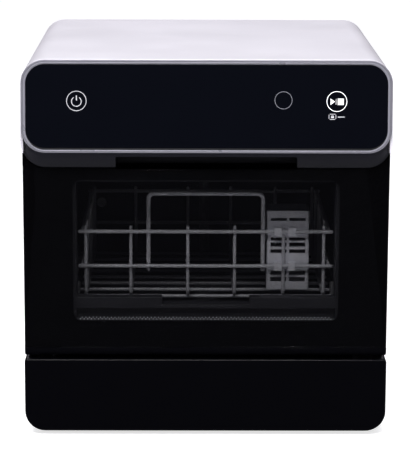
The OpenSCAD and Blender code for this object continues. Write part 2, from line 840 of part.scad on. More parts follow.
// A spray arm with a rib along it, round jets in both blades and a bore for its pivot
module spray_arm(reach, z0, hub_z0, hub_z1, jet_up) {
    color(grey) translate([0, arm_y, 0]) difference() {
        union() {
            along_z(z0, z0 + arm_t - 2) arm_plan(reach);
            along_z(jet_up ? z0 + arm_t - 2 - eps : z0 - 2, jet_up ? z0 + arm_t : z0 + eps)
                for (s = [0, 180]) rotate([0, 0, s])
                    translate([hub_r, -4]) square([reach - hub_r - arm_tip_r - 5, 8]);
            translate([0, 0, hub_z0]) cylinder(r = hub_r - 2, h = hub_z1 - hub_z0);
        }
        for (s = [0, 180], k = [1 : 5])
            rotate([0, 0, s])
                translate([hub_r + k * (reach - hub_r - 2 * arm_tip_r) / 5.2, 0, z0 - 4])
                    cylinder(r = jet_r, h = arm_t + 8, $fn = 24);
        children();
    }
}

module lower_spray_arm() {
    z1 = lower_arm_z + arm_t;
    spray_arm(lower_arm_r, lower_arm_z, post_top + seat, z1, true)
        translate([0, 0, post_top - 1]) cylinder(r = post_r + run_gap, h = post_l + seat);
}

module upper_spray_arm() {
    spray_arm(upper_arm_r, upper_arm_z, upper_arm_z - 2, upper_arm_z + arm_t + 3, false)
        translate([0, 0, upper_arm_z + 1]) cylinder(r = post_r + run_gap, h = arm_t + 10);
}

// Duct up the tub's back wall and along its ceiling to the upper arm
module spray_duct() {
    z0 = floor_z + tub_corner_r + 4;
    y_len = duct_y - arm_y - duct_bend;
    color(grey) difference() {
        union() {
            translate([0, duct_y, z0]) cylinder(r = duct_r, h = duct_z - duct_bend - z0);
            translate([0, duct_y, z0 + duct_r]) rotate([-90, 0, 0])
                cylinder(r = fill_pipe_r, h = tub_back + tub_wall + 8 - duct_y);
            translate([0, duct_y - duct_bend, duct_z - duct_bend]) rotate([90, 0, 90])
                rotate_extrude(angle = 90) translate([duct_bend, 0]) circle(duct_r);
            translate([0, arm_y, duct_z]) rotate([-90, 0, 0])
                cylinder(r = duct_r, h = y_len);
            translate([0, arm_y, upper_arm_z + 3])
                cylinder(r = post_r, h = duct_z - upper_arm_z - 3);
            translate([0, arm_y, upper_arm_z + arm_t + 3 + seat])
                cylinder(r = post_foot_r, h = ceiling_z - upper_arm_z - arm_t - 3 - seat);
        }
        translate([0, arm_y, upper_arm_z]) cylinder(r = post_bore_r, h = duct_z - upper_arm_z);
    }
}

// Wash pump: a volute, a flow heater and the motor on one level axis
module wash_pump() {
    color([0.35, 0.35, 0.38])
        translate([sump_r + outlet_l, filter_y, pump_z]) rotate([0, 90, 0]) {
            cylinder(r = wash_volute_r, h = wash_volute_t);
            translate([0, 0, wash_volute_t - eps]) cylinder(r = heater_r, h = heater_l);
            translate([0, 0, wash_volute_t + heater_l - eps]) {
                cylinder(r = motor_r, h = motor_l);
                for (k = [0 : 4]) translate([0, 0, k * fin_pitch]) cylinder(r = fin_r, h = fin_t);
            }
        }
}

// Drain pump: a small volute with its motor
module drain_pump() {
    color([0.3, 0.3, 0.33])
        translate([-sump_r - outlet_l, filter_y, pump_z]) rotate([0, -90, 0]) {
            cylinder(r = drain_volute_r, h = drain_volute_t);
            translate([0, 0, drain_volute_t - eps])
                cylinder(r = drain_motor_r, h = drain_motor_l);
            translate([0, 0, drain_volute_t + drain_motor_l - 2 * eps]) cylinder(r = 5, h = 6);
            translate([0, 0, drain_volute_t / 2]) rotate([-90, 0, 0])
                cylinder(r = drain_pipe_r, h = drain_volute_r + 4);
        }
}

// Inlet valve with the threaded spigot that takes the supply hose
module inlet_valve() {
    color([0.85, 0.85, 0.86]) {
        translate([inlet_x, bay_back + rear_t + port_len, port_z]) rotate([90, 0, 0])
            cylinder(r = inlet_r, h = port_len + rear_t + 6);
        // collar that fills the hole in the bay's back
        translate([inlet_x, bay_back + rear_t, port_z]) rotate([90, 0, 0])
            cylinder(r = inlet_r + collar, h = rear_t + 1);
        translate([inlet_x - valve_w / 2, bay_back - valve_d, port_z - valve_w / 2])
            cube([valve_w, valve_d - seat, valve_w]);
        // coil and outlet on the valve
        translate([inlet_x, bay_back - 14, port_z + valve_w / 2 - eps])
            cylinder(r = 11, h = 22);
        translate([inlet_x, bay_back - 14, port_z + valve_w / 2 + 22 - 2 * eps])
            cylinder(r = fill_pipe_r, h = 8);
    }
}

// Pipe from the valve to the tub's back wall
module fill_tube() {
    z0 = port_z + valve_w / 2 + 30;
    y = bay_back - 14;
    bend = 12;
    color([0.8, 0.8, 0.82]) {
        translate([inlet_x, y, z0]) cylinder(r = fill_pipe_r, h = fill_z - bend - z0);
        translate([inlet_x, y - bend, fill_z - bend]) rotate([90, 0, 90])
            rotate_extrude(angle = 90) translate([bend, 0]) circle(fill_pipe_r);
        translate([inlet_x, tub_back, fill_z]) rotate([-90, 0, 0])
            cylinder(r = fill_pipe_r, h = y - bend - tub_back);
    }
}

// Pipe from the drain pump to the spigot at the back
module drain_tube() {
    x = -sump_r - outlet_l - drain_volute_t / 2;
    y0 = filter_y + drain_volute_r + 4;
    color([0.25, 0.25, 0.27]) {
        translate([x, y0, pump_z]) rotate([-90, 0, 0])
            cylinder(r = drain_pipe_r, h = bay_back - 38 - y0);
        // non-return box between the pipe and the spigot
        translate([x - drain_pipe_r, bay_back - 46, port_z - 8])
            cube([drain_x - x + 2 * drain_pipe_r + 1, 18, 22]);
        translate([drain_x, bay_back - 28 - eps, port_z]) rotate([-90, 0, 0])
            cylinder(r = drain_pipe_r, h = 25);
    }
}

// Spigot that takes the drain hose
module drain_spigot() {
    color([0.2, 0.2, 0.22]) {
        translate([drain_x, bay_back - 3, port_z]) rotate([-90, 0, 0])
            cylinder(r = drain_r, h = 3 + rear_t + port_len);
        translate([drain_x, bay_back - 3, port_z]) rotate([-90, 0, 0])
            cylinder(r = drain_r + 4, h = 3);
        translate([drain_x, bay_back - eps, port_z]) rotate([-90, 0, 0])
            cylinder(r = drain_r + collar, h = rear_t + eps);
    }
}

// Gland for the mains lead: a flange with a hollow sleeve
module cord_gland() {
    color(soft_black) translate([gland_x, 0, port_z]) rotate([-90, 0, 0]) difference() {
        union() {
            translate([0, 0, rear_out]) cylinder(r = 1.5 * gland_r, h = 2.6);
            translate([0, 0, rear_in - 8]) cylinder(r = gland_r, h = rear_t + 9);
        }
        translate([0, 0, rear_in - 9]) cylinder(r = gland_r / 2, h = 20);
    }
}

// Front view of the door: its upper corners rise as horns beside the chin
module door_outline(inset) {
    difference() {
        translate([-door_w / 2 + inset, door_bottom])
            square([door_w - 2 * inset, horn_top - door_bottom]);
        translate([0, chin_bottom - inset])
            round_rect(-half_w - door_head_gap, -door_head_gap, half_w + door_head_gap,
                       panel_len, bezel_corner_r + door_head_gap);
    }
}

// Side view of the whole door, with a round lower end about the hinge
module door_section() {
    translate([hinge_y, hinge_z]) circle(hinge_r);
    translate([door_y, hinge_z]) square([door_t, horn_top - hinge_z]);
    translate([door_y + door_nose_r, door_bottom + door_nose_r]) circle(door_nose_r);
    translate([door_y, door_bottom + door_nose_r]) square([hinge_r, hinge_r]);
    translate([door_y + door_nose_r, door_bottom]) square([hinge_r - door_nose_r, hinge_r]);
}

// Front glass: one sheet over the whole door
module door_glass() {
    color(clear) difference() {
        along_y(door_y, glass_back) intersection() {
            door_outline(0);
            translate([-half_w, glass_z0]) square([body_w, body_h]);
        }
        translate([-grip_w / 2, door_y - 1, door_top - 2]) cube([grip_w, glass_t + 2, 10]);
    }
}

// Black print on the back of the glass, open at the window
module glass_mask() {
    color(gloss_black) difference() {
        along_y(glass_back, glass_back + mask_t) difference() {
            intersection() {
                door_outline(0.5);
                translate([-half_w, glass_z0]) square([body_w, body_h]);
            }
            round_rect(-window_w / 2, window_z0, window_w / 2, window_z1, window_r);
        }
        translate([-grip_w / 2, glass_back - 1, door_top - 2]) cube([grip_w, 3, 10]);
    }
}

// Door carrier: a hollow moulding with a window frame, ribs, a finger trough and hinge blocks
module door_frame() {
    y0 = glass_back + mask_t;
    in_w = door_w / 2 - wall_t;
    box_out = window_w / 2 + rim_w + wall_t + seat;
    color(soft_black) difference() {
        intersection() {
            along_x(-door_w / 2, door_w / 2) door_section();
            along_y(door_y, door_back)
                tray_rect(-door_w / 2, door_bottom, door_w / 2, panel_bottom, gap_corner_r);
            union() {
                translate([-door_w / 2, y0, door_bottom])
                    cube([door_w, liner_y - y0, door_top - door_bottom]);
                along_y(door_y, y0) translate([-door_w / 2, door_bottom])
                    square([door_w, glass_z0 - 0.4 - door_bottom]);
                along_y(y0, door_y + horn_t) door_outline(0);
                translate([-door_w / 2, liner_y - eps, door_bottom])
                    cube([door_w, liner_t, hinge_z - door_bottom]);
            }
        }
        // room round the window frame, closed by the liner
        difference() {
            along_y(y0 + wall_t, liner_y + 1)
                round_rect(-in_w, hinge_z + hinge_r, in_w, door_top - 20, 4);
            along_y(y0, liner_y + 2)
                round_rect(-box_out, window_z0 - rim_w - wall_t, box_out,
                           window_z1 + rim_w + wall_t, window_r);
            for (x = [-1, 1], k = [0, 1])
                translate([x * (box_out + 10 + k * 14) - 1, y0, hinge_z])
                    cube([2, door_t, door_top - hinge_z]);
            liner_screw_places() translate([0, 0, -door_t]) cylinder(r = 4.5, h = door_t);
        }
        liner_screw_places() translate([0, 0, -12]) cylinder(r = 1.5, h = 12);
        along_y(y0 - 1, liner_y + 1)
            round_rect(-window_w / 2 - rim_w, window_z0 - rim_w, window_w / 2 + rim_w,
                       window_z1 + rim_w, window_r + rim_w / 2);
        // well for the detergent dispenser
        translate([-dose_w / 2 - seat, rim_step_y, dose_z0 - seat])
            cube([dose_w + 2 * seat, door_t, dose_z1 - dose_z0 + 2 * seat]);
        // finger trough behind the top lip
        translate([-grip_w / 2 + 2, glass_back + 4, door_top - 12])
            cube([grip_w - 4, liner_y - glass_back - 7, 20]);
        translate([-grip_w / 2, door_y - 1, door_top - 2]) cube([grip_w, 9, 10]);
        both_sides() {
            translate([bracket_x - bracket_t / 2 - seat, hinge_y - bracket_nose - 1,
                       door_bottom - 1])
                cube([bracket_t + 2 * seat, door_t, hinge_r + bracket_nose + 2]);
            translate([bracket_x - bracket_t / 2 - pin_reach - 0.5, hinge_y, hinge_z])
                rotate([0, 90, 0])
                    cylinder(r = pin_r + run_gap, h = bracket_t + 2 * pin_reach + 1);
        }
    }
}

// Grey rim between the two panes, with a lowered middle in its bottom ledge
module window_rim() {
    out = rim_w - seat;
    clear_w = window_w / 2 - 3;
    color(grey) difference() {
        along_y(rim_y0, rim_y1) difference() {
            round_rect(-window_w / 2 - out, window_z0 - out, window_w / 2 + out,
                       window_z1 + out, window_r + rim_w / 2);
            round_rect(-clear_w, ledge_top, clear_w, window_z1 - 3, 3);
            translate([-ledge_notch_w / 2, ledge_top - ledge_notch_d])
                square([ledge_notch_w, 20]);
        }
        translate([-clear_w, rim_y0 - 1, window_z0]) cube([2 * clear_w, 8, ledge_low - window_z0]);
        translate([-half_w, rim_step_y, door_bottom])
            cube([body_w, door_t, ledge_low - 3 - door_bottom]);
    }
}

// Inner pane, seated on the rim and held by the liner
module inner_pane() {
    color(clear) along_y(rim_y1, rim_y1 + pane_t)
        round_rect(-window_w / 2 - 3, ledge_top - 11, window_w / 2 + 3, window_z1 + 3, 6);
}

// Inner liner of the door, with a sunken field round the pane
module door_liner() {
    open_w = window_w / 2 - 4;
    color([0.2, 0.2, 0.22]) difference() {
        along_y(liner_y, door_back) difference() {
            round_rect(-door_w / 2 + 4, hinge_z + 2, door_w / 2 - 4, door_top - 1, 6);
            round_rect(-open_w, ledge_top - 9, open_w, window_z1 - 4, 8);
            translate([-dose_w / 2 - seat, dose_z0 - seat])
                square([dose_w + 2 * seat, dose_z1 - dose_z0 + 2 * seat]);
        }
        along_y(door_back - 1.2, door_back + 1) difference() {
            round_rect(-open_w - 12, ledge_top - 11, open_w + 12, window_z1 - 1, 10);
            round_rect(-open_w - 5, ledge_top - 15, open_w + 5, window_z1 + 1, 9);
        }
        liner_screw_places() {
            cylinder(r = 1.5, h = 20, center = true);
            translate([0, 0, -1.6]) cylinder(r = 3.2 + seat, h = 5);
        }
        both_sides()
            translate([bracket_x - bracket_t / 2 - seat, liner_y - 1, hinge_z])
                cube([bracket_t + 2 * seat, liner_t + 2, bracket_nose + 1]);
    }
}

// Places of the liner's screws: three on each side and two at the top
module liner_screw_places() {
    x = door_w / 2 - 9;
    for (sx = [-1, 1], k = [0 : 2])
        translate([sx * x, door_back, hinge_z + 24 + k * 84]) rotate([-90, 0, 0]) children();
    for (x = [-120, 120])
        translate([x, door_back, door_top - 6]) rotate([-90, 0, 0]) children();
}

// Screws that hold the liner on the carrier
module liner_screws() {
    color(steel) liner_screw_places() {
        translate([0, 0, -1.6]) cylinder(r = 3.2, h = 1.4);
        translate([0, 0, -10]) cylinder(r = 1.4, h = 8.5);
    }
}

// Hook at the top of the door, which enters the catch
module door_hook() {
    z1 = door_top - 3;
    z0 = z1 - 5;
    y1 = shell_front + hook_reach;
    color(soft_black) {
        translate([-9, door_back, z0 - 1]) cube([18, 2, 6]);
        translate([-5, door_back + 2 - eps, z0]) cube([10, y1 - door_back - 2, 3]);
        translate([-5, y1 - 4, z0 + 3 - eps]) cube([10, 4, 2]);
    }
}

// Dispenser: a closed dose and an open prewash well
module detergent_cup() {
    y1 = door_back + dose_proud - lid_t - 2 * seat;
    deep = door_t;
    color([0.8, 0.8, 0.82]) difference() {
        union() {
            translate([-dose_w / 2, dose_y, dose_z0])
                cube([dose_w, y1 - dose_y, dose_z1 - dose_z0]);
            along_y(door_back, door_back + 1.2)
                round_rect(-dose_w / 2 - 3, dose_z0 - 1.6, dose_w / 2 + 3, dose_z1 + 1.6, 1.5);
            // ears that carry the lid's pin
            for (z = [dose_z0, dose_z1 - lid_ear])
                translate([lid_pin_x - 2.4, y1 - eps, z])
                    cube([4.8, lid_pin_y + 2.2 - y1, lid_ear]);
        }
        translate([-dose_w / 2 + 7, dose_y + 2, dose_z0 + 2])
            cube([lid_w - 9, deep, dose_z1 - dose_z0 - 4]);
        translate([lid_w - dose_w / 2 + 4, dose_y + 2, dose_z0 + 2])
            cube([dose_w - lid_w - 6, deep, dose_z1 - dose_z0 - 4]);
        translate([lid_pin_x, lid_pin_y, dose_z0 - 1])
            cylinder(r = lid_pin_r + run_gap, h = dose_z1 - dose_z0 + 2);
    }
}

// Lid of the dose, which turns on an upright pin at its left end
module detergent_lid() {
    z0 = dose_z0 + lid_ear + seat;
    h = dose_z1 - dose_z0 - 2 * lid_ear - 2 * seat;
    color([0.7, 0.7, 0.74]) {
        translate([lid_pin_x, lid_pin_y - lid_t / 2, z0]) cube([lid_w - 2, lid_t, h]);
        translate([lid_pin_x, lid_pin_y, z0]) cylinder(r = lid_pin_r + 0.1, h = h);
        translate([lid_pin_x, lid_pin_y, dose_z0 + seat])
            cylinder(r = lid_pin_r, h = dose_z1 - dose_z0 - 2 * seat);
        // thumb tab
        translate([lid_pin_x + lid_w - 7, lid_pin_y + lid_t / 2 - eps, z0 + h / 2 - 5])
            cube([2, 1.5, 10]);
    }
}

// A straight round wire along X
module wire_x(x0, x1, y, z, r) {
    translate([x0, y, z]) rotate([0, 90, 0]) cylinder(r = r, h = x1 - x0, $fn = 24);
}

// The same along Y
module wire_y(x, y0, y1, z, r) {
    translate([x, y0, z]) rotate([-90, 0, 0]) cylinder(r = r, h = y1 - y0, $fn = 24);
}

// The same upright
module wire_z(x, y, z0, z1, r) {
    translate([x, y, z0]) cylinder(r = r, h = z1 - z0, $fn = 24);
}

// Round end of a wire
module bead(x, y, z, r) {
    translate([x, y, z]) sphere(r = r, $fn = 24);
}

// Floor of the rack: long wires on cross wires
module rack_floor() {
    color(grey) {
        for (x = upright_x) wire_y(x, rack_y0 + bend_r, rack_y1 - bend_r, rack_z, wire_r);
        for (k = [0 : cross_count - 1])
            wire_x(-rack_w / 2, rack_w / 2, rack_y0 + bend_r + wire_r + k * cross_pitch,
                   cross_z, wire_r);
    }
}

// Front and back fences: uprights that turn into the floor, with two level wires outside them
module rack_fence(y, side) {
    level_y = y + side * (wire_r + rail_wire_r - 0.4);
    for (x = upright_x) {
        wire_z(x, y, rack_z + bend_r, upright_top, wire_r);
        bead(x, y, upright_top, wire_r);
        translate([x, y - side * bend_r, rack_z + bend_r])
            rotate([90, 0, side > 0 ? 90 : -90]) rotate([0, 0, -90])
                rotate_extrude(angle = 90, $fn = 24) translate([bend_r, 0]) circle(wire_r);
    }
    for (z = [mid_z, top_z]) {
        wire_x(-rack_w / 2 + rail_wire_r, rack_w / 2 - rail_wire_r, level_y, z, rail_wire_r);
        for (s = [-1, 1]) bead(s * (rack_w / 2 - rail_wire_r), level_y, z, rail_wire_r);
    }
}

// The fence that the basket hangs on
module rack_front_fence() {
    color(grey) rack_fence(rack_y0, -1);
}

// The fence at the tub's back wall
module rack_back_fence() {
    color(grey) rack_fence(rack_y1, 1);
}

// Side fences: two level wires outside short uprights that stand on the long floor wires
module rack_side_fences() {
    x = side_x + 2 * wire_r + 0.05;
    post_x = x - 2 * wire_r + 0.4;
    color(grey) both_sides() {
        for (z = [mid_z, top_z])
            wire_y(x, rack_y0 - 1, rack_y1 + 1, z, wire_r);
        for (k = [1, 3, 4, 6]) {
            y = rack_y0 + bend_r + wire_r + k * cross_pitch;
            wire_z(post_x, y, rack_z + wire_r, top_z + 4, wire_r);
            bead(post_x, y, top_z + 4, wire_r);
        }
    }
}

// Handle hoop, welded behind the front fence's level wires
module rack_handle() {
    r = hoop_wire_d / 2;
    x = hoop_w / 2;
    bend = 7;
    color(grey) {
        for (s = [-1, 1]) {
            wire_z(s * x, hoop_y, mid_z - 5, hoop_z - bend, r);
            bead(s * x, hoop_y, mid_z - 5, r);
        }
        translate([x - bend, hoop_y, hoop_z - bend]) rotate([90, 0, 0])
            rotate_extrude(angle = 90, $fn = 32) translate([bend, 0]) circle(r);
        translate([-x + bend, hoop_y, hoop_z - bend]) rotate([90, 0, 180])
            rotate_extrude(angle = 90, $fn = 32) translate([bend, 0]) circle(r);
        wire_x(-x + bend, x - bend, hoop_y, hoop_z, r);
    }
}

// Plastic glides at the ends of the cross wires
module rack_glides() {
    x0 = rack_w / 2;
    x1 = channel_out - channel_t - 2;
    color([0.75, 0.75, 0.78]) both_sides()
        for (k = [1, cross_count - 2])
            translate([x0, rack_y0 + bend_r + wire_r + k * cross_pitch - glide_l / 2, glide_z0])
                along_y(0, glide_l) round_rect(0, 0, x1 - x0, glide_h, 2.5);
}

// Rows of slots through the basket's front and back, on both sides of a middle rib
module basket_slots(y0, y1) {
    rib = 3;
    half = basket_w / 2 - slot_margin;
    scale_z = basket_h / slot_room;
    for (row = slot_rows) both_sides()
        translate([rib / 2, y0, basket_top - row[1] * scale_z])
            cube([half - rib / 2, y1 - y0, (row[1] - row[0]) * scale_z]);
}

// Cutlery basket: a box with slotted walls, hung over the front fence by four hooks
module cutlery_basket() {
    y1 = basket_y0 + basket_d;
    hook_y0 = rail_y - rail_wire_r - seat - hook_t;
    color([0.46, 0.46, 0.52]) translate([basket_x, 0, 0]) {
        difference() {
            along_z(basket_z0, basket_top)
                round_rect(-basket_w / 2, basket_y0, basket_w / 2, y1, 3);
            along_z(basket_z0 + basket_wall, basket_top + 1)
                round_rect(-basket_w / 2 + basket_wall, basket_y0 + basket_wall,
                           basket_w / 2 - basket_wall, y1 - basket_wall, 1.5);
            basket_slots(basket_y0 - 1, y1 + 1);
            for (row = [0 : 3])
                translate([-basket_w, basket_y0 + 7, basket_z0 + 10 + row * 20])
                    cube([2 * basket_w, basket_d - 14, 9]);
            for (x = [-1.5, -0.5, 0.5, 1.5], y = [-1, 0, 1])
                translate([x * 11, (basket_y0 + y1) / 2 + y * 12, basket_z0 - 1])
                    cylinder(r = 3.5, h = 5, $fn = 32);
        }
        // rim ridges
        for (z = [basket_top - 3, basket_top - 7])
            along_z(z, z + 1.6) difference() {
                round_rect(-basket_w / 2 - 0.8, basket_y0, basket_w / 2 + 0.8, y1 + 0.8, 3);
                round_rect(-basket_w / 2 + 1, basket_y0 + 1, basket_w / 2 - 1, y1 - 1, 2);
            }
        for (s = [-1, 1], z = [mid_z, top_z])
            translate([hook_x - basket_x + s * (hook_w + hook_gap) / 2 - hook_w / 2, 0, 0]) {
                translate([0, hook_y0, z + rail_wire_r + seat])
                    cube([hook_w, basket_y0 - hook_y0 + 0.5, 2.6]);
                translate([0, hook_y0, z - 4.5]) cube([hook_w, hook_t, rail_wire_r + 7.4]);
            }
    }
}

outer_shell();
rear_panel();
base_pan();
feet();
plinth_panel();
panel_housing();
panel_bezel();
control_glass();
control_board();
touch_pads();
power_board();
tub();
tub_flange();
tub_gasket();
rack_channels();
door_catch();
hinge_brackets();
sump();
filter_plate();
arm_post();
spray_duct();
wash_pump();
drain_pump();
inlet_valve();
fill_tube();
drain_tube();
drain_spigot();
cord_gland();
cabinet_screws();
door_glass();
glass_mask();
door_frame();
window_rim();
inner_pane();
door_liner();
door_hook();
liner_screws();
detergent_cup();
detergent_lid();
rack_floor();
rack_front_fence();
rack_back_fence();
rack_side_fences();
rack_handle();
rack_glides();
cutlery_basket();
lower_spray_arm();
upper_spray_arm();
filter_cup();
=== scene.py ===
import math

import bmesh
import bpy
import numpy as np
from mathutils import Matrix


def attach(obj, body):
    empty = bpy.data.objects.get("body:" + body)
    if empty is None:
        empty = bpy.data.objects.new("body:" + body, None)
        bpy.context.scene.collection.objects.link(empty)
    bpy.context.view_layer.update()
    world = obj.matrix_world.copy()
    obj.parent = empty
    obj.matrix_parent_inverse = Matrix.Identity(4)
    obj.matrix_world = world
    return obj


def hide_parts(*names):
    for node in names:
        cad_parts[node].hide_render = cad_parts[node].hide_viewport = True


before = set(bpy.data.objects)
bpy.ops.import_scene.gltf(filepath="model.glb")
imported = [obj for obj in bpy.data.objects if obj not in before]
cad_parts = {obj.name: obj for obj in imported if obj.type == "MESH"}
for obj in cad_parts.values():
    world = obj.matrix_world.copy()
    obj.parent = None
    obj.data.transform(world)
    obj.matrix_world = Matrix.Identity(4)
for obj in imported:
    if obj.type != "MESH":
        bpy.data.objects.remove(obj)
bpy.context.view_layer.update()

# Camera: a long lens about 2.6 m in front of the machine and half a metre above its middle,
# as in a shop's product picture. It looks down by 11.5 degrees, so the white top shows.
LENS_MM, SENSOR_MM = 173.9, 36.0
CAMERA_PLACE = (-0.0216, -2.637, 0.746)
CAMERA_PITCH, CAMERA_YAW, CAMERA_ROLL = 11.477, -0.458, -0.22
lens = bpy.data.cameras.new("front_camera")
lens.lens, lens.sensor_width = LENS_MM, SENSOR_MM
camera = bpy.data.objects.new("front_camera", lens)
camera.location = CAMERA_PLACE
camera.rotation_euler = (math.radians(90 - CAMERA_PITCH), math.radians(CAMERA_ROLL),
                         math.radians(CAMERA_YAW))
bpy.context.scene.collection.objects.link(camera)
bpy.context.scene.camera = camera


# Studio floor: a wide sheet of matt white paint whose edge stays out of sight. It glows a
# little, so it stays pale round the machine, and the black front doesn't mirror it.
def linear(code):
    """An sRGB hex colour as linear RGBA: each channel is divided by 12.92 when it is dark,
    and otherwise follows the 2.4 power of its shifted value."""
    shares = [int(code[i:i + 2], 16) / 255 for i in (1, 3, 5)]
    return tuple(c / 12.92 if c <= 0.04045 else ((c + 0.055) / 1.055) ** 2.4
                 for c in shares) + (1.0,)


def add_node(tree, kind, settings=(), inputs=()):
    """Adds one shader node. settings are its own properties; inputs are values for its
    sockets, or other nodes' outputs to link to them."""
    made = tree.nodes.new("ShaderNode" + kind)
    for key, value in dict(settings).items():
        setattr(made, key, value)
    for key, value in dict(inputs).items():
        if isinstance(value, bpy.types.NodeSocket):
            tree.links.new(value, made.inputs[key])
        else:
            made.inputs[key].default_value = value
    return made


def new_material(name):
    """An empty material and its node tree."""
    material = bpy.data.materials.new(name)
    material.use_nodes = True
    material.node_tree.nodes.clear()
    return material, material.node_tree


def new_object(name, points, faces, finish, smooth_below=35):
    """A mesh object from an array of points in metres and lists of corners. Edges whose faces
    turn by more than smooth_below degrees stay sharp."""
    mesh = bpy.data.meshes.new(name)
    mesh.from_pydata(np.asarray(points, float).tolist(), [], [list(f) for f in faces])
    mesh.update()
    mesh.materials.append(finish)
    mesh.polygons.foreach_set("use_smooth", np.ones(len(mesh.polygons), bool))
    mesh.set_sharp_from_angle(angle=math.radians(smooth_below))
    made = bpy.data.objects.new(name, mesh)
    bpy.context.scene.collection.objects.link(made)
    return made


FLOOR_HALF, FLOOR_GLOW = 6.0, 0.72
floor_paint, floor_tree = new_material("studio_floor")
floor_shade = add_node(floor_tree, "BsdfPrincipled", inputs={
    "Base Color": linear("#D8D8DA"), "Roughness": 0.7, "Specular IOR Level": 0.1,
    "Emission Color": linear("#FFFFFF"), "Emission Strength": FLOOR_GLOW})
add_node(floor_tree, "OutputMaterial", inputs={"Surface": floor_shade.outputs["BSDF"]})
floor_corners = FLOOR_HALF * np.array([(-1, -1, 0), (1, -1, 0), (1, 1, 0), (-1, 1, 0)])
floor = new_object("studio_floor", floor_corners, [(0, 1, 2, 3)], floor_paint)
floor.visible_glossy = False

# Studio room: white at both sides and overhead, and dark in front and below, so that the
# black front mirrors little. The camera itself sees plain white.
ROOM_DARK, ROOM_BRIGHT = 0.05, 0.6
SIDES_FROM, SIDES_FULL = 0.5, 0.9
ABOVE_FROM, ABOVE_FULL = 0.5, 0.85
room = bpy.data.worlds.new("white_room")
bpy.context.scene.world = room
room.use_nodes = True
room_tree = room.node_tree
room_tree.nodes.clear()
direction = add_node(room_tree, "TexCoord")
way = add_node(room_tree, "SeparateXYZ", inputs={"Vector": direction.outputs["Generated"]})
aside = add_node(room_tree, "Math", {"operation": "ABSOLUTE"}, {0: way.outputs["X"]})
sides = add_node(room_tree, "MapRange", {"interpolation_type": "SMOOTHSTEP"}, {
    "Value": aside.outputs["Value"], "From Min": SIDES_FROM, "From Max": SIDES_FULL})
above = add_node(room_tree, "MapRange", {"interpolation_type": "SMOOTHSTEP"}, {
    "Value": way.outputs["Z"], "From Min": ABOVE_FROM, "From Max": ABOVE_FULL})
most = add_node(room_tree, "Math", {"operation": "MAXIMUM"}, {
    0: sides.outputs["Result"], 1: above.outputs["Result"]})
fade = add_node(room_tree, "MapRange", inputs={
    "Value": most.outputs["Value"], "To Min": ROOM_DARK, "To Max": ROOM_BRIGHT})
glow = add_node(room_tree, "Background", inputs={
    "Color": linear("#F3F1FA"), "Strength": fade.outputs["Result"]})
plain = add_node(room_tree, "Background", inputs={"Color": linear("#FFFFFF"), "Strength": 1.0})
seen = add_node(room_tree, "LightPath")
both = add_node(room_tree, "MixShader", inputs={
    0: seen.outputs["Is Camera Ray"], 1: glow.outputs["Background"],
    2: plain.outputs["Background"]})
add_node(room_tree, "OutputWorld", inputs={"Surface": both.outputs["Shader"]})


# Studio lamps: a wide soft lamp stands high in front, and its light falls steeply through
# the window on the rack's fence. A weak one behind lifts the back of the white top.
def soft_light(name, place, aim, width, height, power):
    """A rectangular lamp at place that faces aim. A lamp shines along its own -Z, so it is
    tilted by the angle between straight down and aim, and then turned towards aim round Z."""
    lamp = bpy.data.lights.new(name, "AREA")
    lamp.shape, lamp.size, lamp.size_y, lamp.energy = "RECTANGLE", width, height, power
    made = bpy.data.objects.new(name, lamp)
    made.location = place
    away = np.array(aim, float) - np.array(place, float)
    made.rotation_euler = (math.atan2(math.hypot(away[0], away[1]), -away[2]), 0,
                           math.atan2(away[1], away[0]) - math.pi / 2)
    bpy.context.scene.collection.objects.link(made)


soft_light("front_light", place=(-0.375, -2.13, 2.65), aim=(0, -0.1, 0.25),
           width=1.95, height=0.75, power=140)
soft_light("top_light", place=(0, 0.8, 1.3), aim=(0, 0.15, 0.44),
           width=1.2, height=0.5, power=8)
bpy.context.scene.view_settings.view_transform = "Standard"


# Feet: four rubber feet, moulded from soft black rubber and pushed into the base by a stem.
# The rubber is dull: its mould's texture scatters what light it gets.
MIX_SHARE, MIX_FIRST, MIX_SECOND, MIX_RESULT = 0, 6, 7, 2  # a colour Mix node's sockets
NOISE_LOW, NOISE_HIGH = 0.3, 0.7  # nearly all of a noise lies between these
WANDER_MM, WANDER_LIGHTER = 40.0, 1.12
PLASTIC_IOR = 1.5


